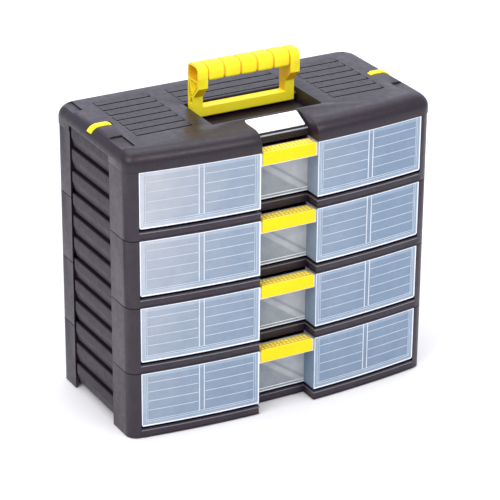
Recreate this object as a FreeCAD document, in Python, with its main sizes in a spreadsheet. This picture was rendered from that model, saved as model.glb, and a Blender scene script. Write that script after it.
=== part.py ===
import FreeCAD, Part
import math
import os
import re
import Sketcher

# Portable parts organizer: stacked drawer modules under a top cover with a fold-down carry handle.
# Frame: origin on the ground under the middle of the case, X to the right, Y to the back, +Z up.

SIZES = {
    # stack
    "width": 370.0,              # across the modules
    "depth": 186.2,              # front of the rail beside the finger notch, to the back
    "bow": 14.4,                 # how far the front corners stand behind the front of the rail
    "module_height": 77.2,       # stacking pitch
    "corner_round": 13.0,        # upright outer corners
    # module
    "case_wall": 2.5,
    "deck_thickness": 2.4,
    "rail_height": 13.0,         # top of the deck and of the front rail
    "post_width": 13.0,          # front posts beside the drawer
    "back_column": 36.0,
    "front_column": 40.2,
    "louvre_depth": 8.0,
    "slats": 3.0,
    "slat_groove": 3.2,          # height of the dark gap over each slat
    "panel_raise": 6.8,          # the louvred panels stand this much higher than the columns
    "panel_set_back": 1.0,
    "slat_lip": 4.0,             # how far the lower lip of a slat stands behind the side
    "slat_lean": 0.55,           # share of a slat that leans inwards
    "lug_height": 3.0,
    "seam_gap": 0.2,             # between stacked pieces, sideways
    "past_face": 1.0,            # how far a cut or a joined solid runs past a face
    "notch_half": 34.8,          # finger notch in the middle of the front
    "notch_depth": 22.0,
    # drawer
    "drawer_gap": 0.5,           # round the drawer front
    "tray_side_gap": 1.7,        # between tray and post
    "window_wall": 2.0,
    "tray_wall": 1.8,
    "tray_top_gap": 11.7,        # from the tray's top to the top of its tier
    "tray_back_gap": 5.0,
    "stop_lug": 6.0,
    "lug_gap": 1.0,
    "drawer_travel": 120.0,
    "divider_place": 103.0,
    "divider_thickness": 1.5,
    "divider_gap": 0.2,
    "guide_rib": 1.2,
    "guide_depth": 3.0,
    "guide_reach": 3.0,          # from the divider to where the guides meet the bowed wall
    "guide_bury": 1.5,
    "divider_front_gap": 0.8,
    "divider_back_gap": 0.4,
    "divider_top_gap": 14.9,
    # pull
    "pull_half": 32.2,
    "pull_height": 14.6,
    "pull_depth": 16.0,
    "pull_wall": 2.0,
    "bar_wall": 1.8,
    "bar_drop": 1.0,             # how far the bar shows under the pull
    "clip_lip": 1.0,
    # cover
    "cover_height": 21.3,
    "cover_overhang": 0.8,
    "cover_wall": 3.0,
    "cover_roll": 12.0,
    "pocket_half": 67.0,
    "pocket_depth": 27.0,
    "pocket_shelf": 16.9,        # raised floor behind the folded grip, below the top
    "shelf_slope": 10.5,
    "pocket_margin": 2.0,        # free space round the folded handle
    "label_half": 31.5,
    "label_seat": 21.4,
    "label_drop": 10.0,
    "label_thickness": 0.8,
    "label_front": 70.5,         # front of the label block, from the middle
    "channel_gap": 2.5,
    "card_front_gap": 0.6,
    "card_back_gap": 1.2,
    "bead_proud": 1.6,
    "bead_below": 2.0,
    "bead_height": 1.4,
    "groove_width": 1.4,
    "groove_depth": 1.2,
    "groove_pitch": 16.0,
    "groove_count": 7.0,
    "groove_inner": 86.0,
    "groove_outer": 151.0,
    "groove_middle": 64.0,
    "groove_first": 1.5,         # first slit behind the front of the louvred panel
    "groove_clear": 5.0,         # nearest slit behind the pocket
    "recess_depth": 1.8,         # stacking recesses at the four corners
    "recess_front_width": 20.5,
    "recess_front_start": 18.7,
    "recess_front_length": 33.0,
    "recess_back_width": 16.5,
    "recess_back_edge": 6.0,
    # handle
    "pivot_back": 13.8,          # handle axis, behind the middle
    "pivot_below": 7.6,          # handle axis, below the top of the cover
    "pin_radius": 2.5,
    "pin_running_gap": 0.06,
    "pin_depth": 7.0,
    "pin_end_gap": 0.5,
    "handle_half": 62.0,
    "leg_width": 11.5,
    "leg_front": 6.6,            # leg faces in front of and behind the axis
    "leg_back": 5.8,
    "bar_below": 5.5,
    "bar_above": 6.0,
    "grip_front": 18.6,
    "grip_low": 39.5,            # underside of the grip above the axis
    "grip_top": 57.0,
    "grip_round": 7.5,
    "gusset_low": 19.0,
    "gusset_high": 31.5,
    "grip_wall": 2.6,
    "grip_crown": 3.6,
    # side latches
    "latch_width": 9.0,
    "latch_thickness": 1.8,
    "latch_recess": 1.2,
    "latch_gap": 0.3,
    "latch_end": 30.0,           # slope at which the tongue ends on the cover's roll, in degrees
    "latch_seat_over": 4.0,      # how much further the seat runs, in degrees
    "latch_pivot": 161.0,
    "latch_place": 9.5,          # behind the middle
    "latch_pin_radius": 0.9,
    "latch_pin_below": 1.6,
    "latch_pin_bury": 3.0,
    "latch_slot_depth": 8.0,
    "knuckle_radius": 1.7,
    "knuckle_gap": 1.0,
}
MODULES = 4
CLOSE = 0.01
NAMES = re.compile(r"\b(" + "|".join(sorted(SIZES, key=len, reverse=True)) + r")\b")

doc = FreeCAD.newDocument("parts_organizer")
sheet = doc.addObject("Spreadsheet::Sheet", "Sizes")
for row, (alias, size) in enumerate(SIZES.items(), start=1):
    sheet.set(f"A{row}", alias)
    sheet.set(f"B{row}", str(size))
    sheet.setAlias(f"B{row}", alias)
doc.recompute()

# Places that several pieces share, written in the sheet's names.
HALF = "(width / 2)"
BACK = "(depth / 2)"
FRONT = "(-depth / 2)"
CORNER = f"({FRONT} + bow)"
BOW_CENTRE = f"((({HALF} ^ 2 - notch_half ^ 2) / bow + {FRONT} + {CORNER}) / 2)"
BOW_RADIUS = f"sqrt({HALF} ^ 2 + ({BOW_CENTRE} - {CORNER}) ^ 2)"
POST = f"({HALF} - post_width)"
INNER = f"({HALF} - louvre_depth - case_wall)"
PANEL_FRONT = f"({CORNER} + front_column)"
PANEL_BACK = f"({BACK} - back_column)"
NOTCH_BACK = f"({FRONT} + notch_depth)"
TRAY_HALF = f"({POST} - tray_side_gap)"
TRAY_BACK = f"({BACK} - case_wall - tray_back_gap)"
TRAY_LOW = "(rail_height + drawer_gap)"
FRONT_TOP = "(module_height - drawer_gap)"
COVER_LOW = f"({MODULES} * module_height)"
COVER_TOP = f"({COVER_LOW} + cover_height)"
AXIS_Z = f"({COVER_TOP} - pivot_below)"
POCKET_FRONT = "(pivot_back - grip_top - pocket_margin)"
POCKET_BACK = "(pivot_back + leg_back + bar_below / 2)"
LABEL_BACK = "(-1 * label_front + label_seat)"
LABEL_LOW = f"({COVER_TOP} - label_drop)"
CHANNEL_HALF = "(label_half + channel_gap)"
LATCH_AXIS_Z = f"({COVER_TOP} - latch_pin_below)"
FAR = "(width + depth)"

nodes = []


def bind(text):
    """The expression with each size read from the sheet."""
    return NAMES.sub(r"Sizes.\1", text)


def number(text):
    return float(sheet.evalExpression(bind(text)))


def new_body(label):
    """One sub-part: a body of its own, which names its file."""
    body = doc.addObject("PartDesign::Body", label)
    body.Label = label
    nodes.append(body)
    return body


def origin_plane(body, role):
    return next(item for item in body.Origin.OriginFeatures if item.Role == role)


def add_loop(sketch, corners):
    """A closed outline. A corner is (x, y), or (x, y, centre) where an arc about centre leaves it."""
    first = sketch.GeometryCount
    count = len(corners)
    places = [(number(corner[0]), number(corner[1])) for corner in corners]
    starts, ends = [], []
    for index, corner in enumerate(corners):
        here = FreeCAD.Vector(*places[index], 0)
        there = FreeCAD.Vector(*places[(index + 1) % count], 0)
        starts.append(1)
        ends.append(2)
        if len(corner) == 2:
            sketch.addGeometry(Part.LineSegment(here, there), False)
            continue
        centre = FreeCAD.Vector(number(corner[2][0]), number(corner[2][1]), 0)
        circle = Part.Circle(centre, FreeCAD.Vector(0, 0, 1), (here - centre).Length)
        first_angle = math.atan2(here.y - centre.y, here.x - centre.x)
        last_angle = math.atan2(there.y - centre.y, there.x - centre.x)
        turn = math.remainder(last_angle - first_angle, 2 * math.pi)
        if turn < 0:
            first_angle, last_angle = last_angle, first_angle
            starts[-1], ends[-1] = 2, 1
        sketch.addGeometry(Part.ArcOfCircle(circle, first_angle, first_angle + abs(turn)), False)
    for index in range(count):
        after = (index + 1) % count
        sketch.addConstraint(
            Sketcher.Constraint("Coincident", first + index, ends[index], first + after, starts[after])
        )
    for index, corner in enumerate(corners):
        for kind, place, text in zip(("DistanceX", "DistanceY"), places[index], corner):
            rule = Sketcher.Constraint(kind, -1, 1, first + index, starts[index], place)
            sketch.setExpression(f"Constraints[{sketch.addConstraint(rule)}]", bind(text))
        if len(corner) == 3:
            across = f"({corner[0]} - {corner[2][0]})"
            along = f"({corner[1]} - {corner[2][1]})"
            radius = f"sqrt({across} ^ 2 + {along} ^ 2)"
            rule = Sketcher.Constraint("Radius", first + index, number(radius))
            sketch.setExpression(f"Constraints[{sketch.addConstraint(rule)}]", bind(radius))


def prism(body, name, role, loops, low, high, cut=False):
    """A pad or a pocket of some outlines on an origin plane, from low to high along its axis."""
    before = body.Shape.Volume if body.Tip else 0.0
    sketch = body.newObject("Sketcher::SketchObject", f"{name}_outline")
    sketch.AttachmentSupport = [(origin_plane(body, role), "")]
    sketch.MapMode = "FlatFace"
    backwards = role == "XZ_Plane"
    sketch.setExpression(".AttachmentOffset.Base.z", bind(f"-1 * ({low})" if backwards else low))
    for corners in loops:
        add_loop(sketch, corners)
    feature = body.newObject("PartDesign::Pocket" if cut else "PartDesign::Pad", name)
    feature.Profile = sketch
    feature.setExpression("Length", bind(f"({high}) - ({low})"))
    feature.Reversed = backwards != cut
    doc.recompute()
    after = body.Shape.Volume
    if cut == (after >= before) or abs(after - before) < CLOSE:
        raise ValueError(f"{body.Label}: {name} changed nothing")
    return feature


def rectangle(x_low, y_low, x_high, y_high):
    return [(x_low, y_low), (x_high, y_low), (x_high, y_high), (x_low, y_high)]


def both_sides(corners):
    """An outline on the right, and its mirror image on the left."""
    mirrored = [(f"-1 * ({corner[0]})", *corner[1:]) for corner in corners]
    return [corners, mirrored]


def circle_sketch(body, name, role, centre, radius, low):
    sketch = body.newObject("Sketcher::SketchObject", f"{name}_outline")
    sketch.AttachmentSupport = [(origin_plane(body, role), "")]
    sketch.MapMode = "FlatFace"
    offset = f"-1 * ({low})" if role == "XZ_Plane" else low
    sketch.setExpression(".AttachmentOffset.Base.z", bind(offset))
    middle = FreeCAD.Vector(number(centre[0]), number(centre[1]), 0)
    circle = Part.Circle(middle, FreeCAD.Vector(0, 0, 1), number(radius))
    index = sketch.addGeometry(circle, False)
    rules = (
        (Sketcher.Constraint("Radius", index, number(radius)), radius),
        (Sketcher.Constraint("DistanceX", -1, 1, index, 3, middle.x), centre[0]),
        (Sketcher.Constraint("DistanceY", -1, 1, index, 3, middle.y), centre[1]),
    )
    for rule, text in rules:
        sketch.setExpression(f"Constraints[{sketch.addConstraint(rule)}]", bind(text))
    return sketch


def bore(body, name, role, centre, radius, low, high):
    """A round hole along an axis."""
    before = body.Shape.Volume
    sketch = circle_sketch(body, name, role, centre, radius, low)
    pocket = body.newObject("PartDesign::Pocket", name)
    pocket.Profile = sketch
    pocket.setExpression("Length", bind(f"({high}) - ({low})"))
    pocket.Reversed = role != "XZ_Plane"
    doc.recompute()
    if body.Shape.Volume >= before:
        raise ValueError(f"{body.Label}: {name} cut nothing")


def rod(body, name, role, centre, radius, low, high):
    """A round bar along an axis."""
    sketch = circle_sketch(body, name, role, centre, radius, low)
    pad = body.newObject("PartDesign::Pad", name)
    pad.Profile = sketch
    pad.setExpression("Length", bind(f"({high}) - ({low})"))
    pad.Reversed = role == "XZ_Plane"
    doc.recompute()


def round_edges(body, name, radius, wanted):
    """A fillet of the edges that the test picks."""
    base = body.Tip
    picked = [
        f"Edge{index}" for index, edge in enumerate(base.Shape.Edges, start=1) if wanted(edge)
    ]
    if not picked:
        raise ValueError(f"{body.Label}: {name} found no edge")
    fillet = body.newObject("PartDesign::Fillet", name)
    fillet.Base = (base, picked)
    fillet.setExpression("Radius", bind(radius))
    doc.recompute()
    return fillet


def on_bow(across, inset="0"):
    """Y of the bowed front at a place across, set in by a wall."""
    return f"({BOW_CENTRE} - sqrt(({BOW_RADIUS} - {inset}) ^ 2 - ({across}) ^ 2))"


def bowed(half, back, inset="0", notch_half=None, notch_back=None):
    """A plan with the bowed front, straight sides and back, and maybe a notch in the front."""
    centre = ("0", BOW_CENTRE)
    left, right = f"-1 * ({half})", half
    if notch_half is None:
        front = [(left, on_bow(half, inset), centre)]
    else:
        step = f"-1 * ({notch_half})"
        front = [
            (left, on_bow(half, inset), centre),
            (step, on_bow(notch_half, inset)),
            (step, notch_back),
            (notch_half, notch_back),
            (notch_half, on_bow(notch_half, inset), centre),
        ]
    return [*front, (right, on_bow(half, inset)), (right, back), (left, back)]


def upright_corner(half, corners_y):
    """Picks the upright edges at the outer corners."""
    def test(edge):
        box = edge.BoundBox
        upright = box.XLength < CLOSE and box.YLength < CLOSE
        beside = abs(abs(box.Center.x) - half) < CLOSE
        return upright and beside and any(abs(box.Center.y - y) < CLOSE for y in corners_y)
    return test


def grown(loop, by):
    """A rectangle that is larger by so much on every side, whichever hand it has."""
    middle_x = f"(({loop[0][0]} + {loop[1][0]}) / 2)"
    middle_y = f"(({loop[0][1]} + {loop[2][1]}) / 2)"
    half_x = f"(abs({loop[1][0]} - ({loop[0][0]})) / 2 + {by})"
    half_y = f"(abs({loop[2][1]} - ({loop[0][1]})) / 2 + {by})"
    return rectangle(f"{middle_x} - {half_x}", f"{middle_y} - {half_y}",
                     f"{middle_x} + {half_x}", f"{middle_y} + {half_y}")


def make_module(level):
    """One tier's shell: deck and front rail, louvred sides, posts and back wall."""
    body = new_body(f"module_{level}")
    outer = bowed(HALF, BACK, "0", "notch_half", NOTCH_BACK)
    prism(body, "block", "XY_Plane", [outer], "0", "module_height")
    corners_y = (number(CORNER), number(BACK))
    round_edges(body, "corners", "corner_round", upright_corner(number(HALF), corners_y))
    bay = rectangle(f"-1 * {POST}", f"-1 * {FAR}", POST, f"{BACK} - case_wall")
    prism(body, "drawer_bay", "XY_Plane", [bay], "rail_height", FAR, cut=True)
    side = rectangle(f"{POST} - past_face", f"{CORNER} + post_width", INNER, f"{BACK} - case_wall")
    prism(body, "side_bay", "XY_Plane", both_sides(side), "rail_height", FAR, cut=True)
    under = bowed(INNER, f"{BACK} - case_wall", "case_wall", "(notch_half + case_wall)",
                  f"({NOTCH_BACK} + case_wall)")
    prism(body, "under_deck", "XY_Plane", [under], "0", "rail_height - deck_thickness", cut=True)
    hollow_back = rectangle(f"{INNER} + case_wall", f"{PANEL_BACK} + case_wall",
                            f"{HALF} - case_wall", f"{BACK} - corner_round")
    hollow_front = rectangle(f"{INNER} + case_wall", f"{CORNER} + corner_round",
                             f"{HALF} - case_wall", f"{PANEL_FRONT} - case_wall")
    hollows = both_sides(hollow_back) + both_sides(hollow_front)
    prism(body, "column_hollows", "XY_Plane", hollows, "0", "module_height - case_wall", cut=True)
    make_louvres(body)
    lugs = []
    for hollow in hollows:
        lugs.append(grown(hollow, "-1 * seam_gap"))
    prism(body, "stacking_lugs", "XY_Plane", lugs, "module_height", "module_height + lug_height")
    slot = rectangle("-1 * stop_lug", f"{TRAY_BACK} - 2 * stop_lug - drawer_travel",
                     "stop_lug", f"{TRAY_BACK} + past_face")
    prism(body, "stop_slot", "XY_Plane", [slot], "rail_height - deck_thickness", "rail_height", cut=True)
    body.setExpression(".Placement.Base.z", bind(f"{level - 1} * module_height"))


def make_louvres(body):
    """The side panels stand higher than the columns, with slats that lean in to dark gaps."""
    face = f"({HALF} - panel_set_back)"
    above = rectangle(INNER, f"{PANEL_FRONT} + seam_gap", face, f"{PANEL_BACK} - seam_gap")
    prism(body, "panel_top", "XY_Plane", both_sides(above), "module_height",
          "module_height + panel_raise - seam_gap")
    below = rectangle(f"{INNER} - seam_gap", PANEL_FRONT, FAR, PANEL_BACK)
    prism(body, "panel_foot", "XY_Plane", both_sides(below), "0", "panel_raise", cut=True)
    loops = []
    pitch = "(module_height / slats)"
    for slat in range(int(number("slats"))):
        low = f"(panel_raise + {slat} * {pitch})"
        deep = f"({HALF} - louvre_depth)"
        lean = [
            (face, f"{low} + {pitch} * slat_lean"),
            (FAR, f"{low} + {pitch} * slat_lean"),
            (FAR, low),
            (deep, low),
            (deep, f"{low} + slat_groove"),
            (f"{HALF} - slat_lip", f"{low} + slat_groove"),
        ]
        loops += both_sides(lean)
    prism(body, "slat_gaps", "XZ_Plane", loops, PANEL_FRONT, PANEL_BACK, cut=True)
    shade = rectangle(face, "panel_raise", FAR, "module_height + panel_raise")
    prism(body, "panel_set_back", "XZ_Plane", both_sides(shade), PANEL_FRONT, PANEL_BACK, cut=True)


def make_drawer(level):
    """A clear tray with a bowed front, a set-back middle, a handle bar and divider guides."""
    body = new_body(f"drawer_{level}")
    tray_top = "(module_height - tray_top_gap)"
    shell = bowed(TRAY_HALF, TRAY_BACK, "0", "notch_half", NOTCH_BACK)
    prism(body, "tray", "XY_Plane", [shell], TRAY_LOW, tray_top)
    hollow = bowed(f"({TRAY_HALF} - tray_wall)", f"({TRAY_BACK} - tray_wall)", "window_wall",
                   "(notch_half + tray_wall)", f"({NOTCH_BACK} + tray_wall)")
    prism(body, "tray_inside", "XY_Plane", [hollow], f"{TRAY_LOW} + tray_wall", FAR, cut=True)
    centre = ("0", BOW_CENTRE)
    edge = f"({POST} - drawer_gap)"
    window = [
        ("notch_half", on_bow("notch_half"), centre),
        (edge, on_bow(edge)),
        (edge, on_bow(edge, "window_wall"), centre),
        ("notch_half + tray_wall", on_bow("(notch_half + tray_wall)", "window_wall")),
        ("notch_half + tray_wall", f"{NOTCH_BACK} + tray_wall"),
        ("0", f"{NOTCH_BACK} + tray_wall"),
        ("0", NOTCH_BACK),
        ("notch_half", NOTCH_BACK),
    ]
    prism(body, "front_right", "XY_Plane", [window], TRAY_LOW, FRONT_TOP)
    prism(body, "front_left", "XY_Plane", [both_sides(window)[1]], TRAY_LOW, FRONT_TOP)
    bar_front = f"({FRONT} + pull_wall)"
    bar_back = f"({FRONT} + pull_depth - pull_wall)"
    bar_top = f"({FRONT_TOP} - pull_wall)"
    bar = [
        (bar_front, f"{FRONT_TOP} - pull_height - bar_drop"),
        (f"{bar_front} + bar_wall", f"{FRONT_TOP} - pull_height - bar_drop"),
        (f"{bar_front} + bar_wall", f"{bar_top} - bar_wall"),
        (bar_back, f"{bar_top} - bar_wall"),
        (bar_back, bar_top),
        (bar_front, bar_top),
    ]
    prism(body, "handle_bar", "YZ_Plane", [bar], "-1 * notch_half - past_face",
          "notch_half + past_face")
    ribs = []
    for side in (-1, 1):
        middle = f"({side} * divider_place)"
        for hand in (-1, 1):
            near = f"({middle} + {hand} * (divider_thickness / 2 + divider_gap))"
            far = f"({near} + {hand} * guide_rib)"
            wall = on_bow("(divider_place + guide_reach)", "window_wall")
            ribs.append(rectangle(near, f"{wall} - guide_bury", far, f"{wall} + guide_depth"))
            back = f"({TRAY_BACK} - tray_wall)"
            ribs.append(rectangle(near, f"{back} - guide_depth", far, f"{back} + past_face"))
    prism(body, "divider_guides", "XY_Plane", ribs, f"{TRAY_LOW} + past_face",
          "module_height - divider_top_gap - tray_wall")
    lug = rectangle("-1 * stop_lug + lug_gap", f"{TRAY_BACK} - stop_lug", "stop_lug - lug_gap", TRAY_BACK)
    prism(body, "stop_lug_block", "XY_Plane", [lug], "rail_height - deck_thickness",
          f"{TRAY_LOW} + past_face")
    body.setExpression(".Placement.Base.z", bind(f"{level - 1} * module_height"))


def make_divider(level, side, hand):
    """A plate that slides down between two pairs of guide ribs."""
    body = new_body(f"divider_{hand}_{level}")
    middle = f"({side} * divider_place)"
    wall = on_bow("(divider_place + guide_reach)", "window_wall")
    plan = rectangle(f"{middle} - divider_thickness / 2", f"{wall} + divider_front_gap",
                     f"{middle} + divider_thickness / 2", f"{TRAY_BACK} - tray_wall - divider_back_gap")
    prism(body, "plate", "XY_Plane", [plan], f"{TRAY_LOW} + tray_wall", "module_height - divider_top_gap")
    body.setExpression(".Placement.Base.z", bind(f"{level - 1} * module_height"))


def make_pull(level):
    """A clip-on grip that wraps the front, top and back edge of the drawer's handle bar."""
    body = new_body(f"drawer_pull_{level}")
    low = f"({FRONT_TOP} - pull_height)"
    back = f"({FRONT} + pull_depth)"
    section = [
        (FRONT, low),
        (f"{FRONT} + pull_wall", low),
        (f"{FRONT} + pull_wall", f"{FRONT_TOP} - pull_wall"),
        (f"{back} - pull_wall", f"{FRONT_TOP} - pull_wall"),
        (f"{back} - pull_wall", f"{FRONT_TOP} - pull_wall - bar_wall - clip_lip"),
        (back, f"{FRONT_TOP} - pull_wall - bar_wall - clip_lip"),
        (back, FRONT_TOP),
        (FRONT, FRONT_TOP),
    ]
    prism(body, "clip", "YZ_Plane", [section], "-1 * pull_half", "pull_half")
    body.setExpression(".Placement.Base.z", bind(f"{level - 1} * module_height"))


def groove_loops():
    """Shallow slits in three groups across the top of the cover."""
    loops = []
    count = int(number("groove_count"))
    for index in range(count):
        low = f"({PANEL_FRONT} + groove_first + {index} * groove_pitch)"
        high = f"({low} + groove_width)"
        loops += both_sides(rectangle("groove_inner", low, "groove_outer", high))
        if number(low) > number(f"{POCKET_BACK} + groove_clear"):
            loops.append(rectangle("-1 * groove_middle", low, "groove_middle", high))
    return loops


def make_cover():
    """The top cover: a rolled shell with the handle's pocket, the label's channel and the latch seats."""
    body = new_body("top_cover")
    half = f"({HALF} + cover_overhang)"
    back = f"({BACK} + cover_overhang)"
    out = "(-1 * cover_overhang)"
    plan = bowed(half, back, out)
    prism(body, "block", "XY_Plane", [plan], COVER_LOW, COVER_TOP)
    front_y = number(on_bow(half, out))
    corners_y = (front_y, number(back))
    round_edges(body, "corners", "corner_round", upright_corner(number(half), corners_y))
    top = number(COVER_TOP)
    round_edges(body, "roll", "cover_roll",
                lambda edge: edge.BoundBox.ZLength < CLOSE and abs(edge.BoundBox.ZMax - top) < CLOSE)
    block_half = f"({CHANNEL_HALF} + cover_wall)"
    block_back = f"({LABEL_BACK} + cover_wall)"
    rim = "(cover_wall - cover_overhang)"
    low_room = bowed(f"({HALF} - {rim})", f"({BACK} - {rim})", rim, block_half, block_back)
    prism(body, "low_room", "XY_Plane", [low_room], COVER_LOW, f"{COVER_TOP} - cover_roll", cut=True)
    shoulder = "(cover_roll - cover_overhang)"
    high_room = bowed(f"({HALF} - {shoulder})", f"({BACK} - {shoulder})", shoulder, block_half, block_back)
    prism(body, "high_room", "XY_Plane", [high_room], COVER_LOW, f"{COVER_TOP} - cover_wall", cut=True)
    make_pocket(body)
    make_label_channel(body)
    skirt = rectangle(f"{INNER} - seam_gap", PANEL_FRONT, FAR, PANEL_BACK)
    prism(body, "skirt_notches", "XY_Plane", both_sides(skirt), COVER_LOW,
          f"{COVER_LOW} + panel_raise", cut=True)
    prism(body, "slits", "XY_Plane", groove_loops(), f"{COVER_TOP} - groove_depth",
          f"{COVER_TOP} + past_face", cut=True)
    start = f"({CORNER} + recess_front_start)"
    recess_front = rectangle(f"{HALF} - recess_front_width", start, FAR, f"{start} + recess_front_length")
    recess_back = rectangle(f"{HALF} - recess_back_width", PANEL_BACK, FAR, f"{BACK} - recess_back_edge")
    prism(body, "stacking_recesses", "XY_Plane", both_sides(recess_front) + both_sides(recess_back),
          f"{COVER_TOP} - recess_depth", f"{COVER_TOP} + past_face", cut=True)
    make_latch_seats(body)


def make_pocket(body):
    """The sunk box that takes the folded handle, with a bore in each end for its pins."""
    wall = "case_wall"
    floor = f"({COVER_TOP} - pocket_depth)"
    shelf = f"({COVER_TOP} - pocket_shelf)"
    shelf_front = "(pivot_back - gusset_low)"
    shelf_foot = f"({shelf_front} - shelf_slope)"
    outside = [
        (f"{POCKET_FRONT} - {wall}", f"{floor} - {wall}"),
        (f"{shelf_foot} + past_face", f"{floor} - {wall}"),
        (f"{shelf_front} + past_face", f"{shelf} - {wall}"),
        (f"{POCKET_BACK} + {wall}", f"{shelf} - {wall}"),
        (f"{POCKET_BACK} + {wall}", f"{COVER_TOP} - past_face"),
        (f"{POCKET_FRONT} - {wall}", f"{COVER_TOP} - past_face"),
    ]
    prism(body, "pocket_box", "YZ_Plane", [outside], f"-1 * pocket_half - {wall}", f"pocket_half + {wall}")
    inside = [
        (POCKET_FRONT, floor),
        (shelf_foot, floor),
        (shelf_front, shelf),
        (POCKET_BACK, shelf),
        (POCKET_BACK, f"{COVER_TOP} + past_face"),
        (POCKET_FRONT, f"{COVER_TOP} + past_face"),
    ]
    prism(body, "pocket", "YZ_Plane", [inside], "-1 * pocket_half", "pocket_half", cut=True)
    bore(body, "pin_bores", "YZ_Plane", ("pivot_back", AXIS_Z), "pin_radius",
         f"-1 * pocket_half - {wall}", f"pocket_half + {wall}")


def make_label_channel(body):
    """A channel through the rolled front, with a sloping seat for the label."""
    cut = [
        (LABEL_BACK, f"{COVER_TOP} + past_face"),
        (LABEL_BACK, COVER_TOP),
        ("-1 * label_front", LABEL_LOW),
        ("-1 * label_front", f"{COVER_LOW} - past_face"),
        (f"-1 * {FAR}", f"{COVER_LOW} - past_face"),
        (f"-1 * {FAR}", f"{COVER_TOP} + past_face"),
    ]
    prism(body, "label_channel", "YZ_Plane", [cut], f"-1 * {CHANNEL_HALF}", CHANNEL_HALF, cut=True)
    bead_top = f"({LABEL_LOW} - bead_below)"
    bead = rectangle("-1 * label_front - bead_proud", f"{bead_top} - bead_height",
                     "-1 * label_front + past_face", bead_top)
    prism(body, "label_bead", "YZ_Plane", [bead], f"-1 * {CHANNEL_HALF}", CHANNEL_HALF)


def make_label():
    """A blank card on the sloping seat."""
    body = new_body("label_card")
    lift = "(label_thickness * sqrt(label_seat ^ 2 + label_drop ^ 2) / label_seat)"
    near_y = "(-1 * label_front + card_front_gap)"
    far_y = f"({LABEL_BACK} - card_back_gap)"
    seat = f"{LABEL_LOW} + label_drop / label_seat"
    section = [
        (near_y, f"{seat} * ({near_y} + label_front)"),
        (far_y, f"{seat} * ({far_y} + label_front)"),
        (far_y, f"{seat} * ({far_y} + label_front) + {lift}"),
        (near_y, f"{seat} * ({near_y} + label_front) + {lift}"),
    ]
    prism(body, "card", "YZ_Plane", [section], "-1 * label_half", "label_half")


def latch_section(side, raised, thick, end):
    """The latch's side view: a tongue on the top that wraps the roll down to a slope."""
    bend_x = f"({HALF} + cover_overhang - cover_roll)"
    bend_z = f"({COVER_TOP} - cover_roll)"
    inner = f"(cover_roll + {raised})"
    outer = f"(cover_roll + {raised} + {thick})"
    centre = (f"{side} * {bend_x}", bend_z)
    return [
        (f"{side} * latch_pivot", f"{bend_z} + {inner}"),
        (f"{side} * {bend_x}", f"{bend_z} + {inner}", centre),
        (f"{side} * ({bend_x} + {inner} * cos({end}))", f"{bend_z} + {inner} * sin({end})"),
        (f"{side} * ({bend_x} + {outer} * cos({end}))", f"{bend_z} + {outer} * sin({end})", centre),
        (f"{side} * {bend_x}", f"{bend_z} + {outer}"),
        (f"{side} * latch_pivot", f"{bend_z} + {outer}"),
    ]


def make_latch_seats(body):
    """A shallow groove over each side edge, with a slot and a cross bore for the latch's pin."""
    room = "(latch_width / 2 + latch_gap)"
    low = f"(latch_place - {room})"
    high = f"(latch_place + {room})"
    for side, hand in ((-1, "left"), (1, "right")):
        seat = latch_section(side, "(-1 * latch_recess)", "(latch_recess + latch_thickness)",
                             "(latch_end - latch_seat_over)")
        prism(body, f"latch_seat_{hand}", "XZ_Plane", [seat], low, high, cut=True)
        reach = "(knuckle_radius + knuckle_gap)"
        slot = rectangle(f"{side} * latch_pivot - {reach}", f"{COVER_TOP} - latch_slot_depth",
                         f"{side} * latch_pivot + {reach}", f"{COVER_TOP} + past_face")
        prism(body, f"latch_slot_{hand}", "XZ_Plane", [slot], low, high, cut=True)
        bore(body, f"latch_bore_{hand}", "XZ_Plane", (f"{side} * latch_pivot", LATCH_AXIS_Z),
             "latch_pin_radius", f"{low} - latch_pin_bury", f"{high} + latch_pin_bury")


def make_latch(side, hand):
    """A flip latch that wraps the cover's side edge."""
    body = new_body(f"side_latch_{hand}")
    low = "(latch_place - latch_width / 2)"
    high = "(latch_place + latch_width / 2)"
    section = latch_section(side, "(latch_gap - latch_recess)", "latch_thickness", "latch_end")
    prism(body, "tongue", "XZ_Plane", [section], low, high)
    centre = (f"{side} * latch_pivot", LATCH_AXIS_Z)
    rod(body, "knuckle", "XZ_Plane", centre, "knuckle_radius", low, high)
    bore(body, "knuckle_bore", "XZ_Plane", centre, "(latch_pin_radius + pin_running_gap)",
         f"{low} - past_face", f"{high} + past_face")


def make_latch_pin(side, hand):
    body = new_body(f"latch_pin_{hand}")
    room = "(latch_width / 2 + latch_gap + latch_pin_bury)"
    rod(body, "pin", "XZ_Plane", (f"{side} * latch_pivot", LATCH_AXIS_Z), "latch_pin_radius",
        f"latch_place - {room}", f"latch_place + {room}")


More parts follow.
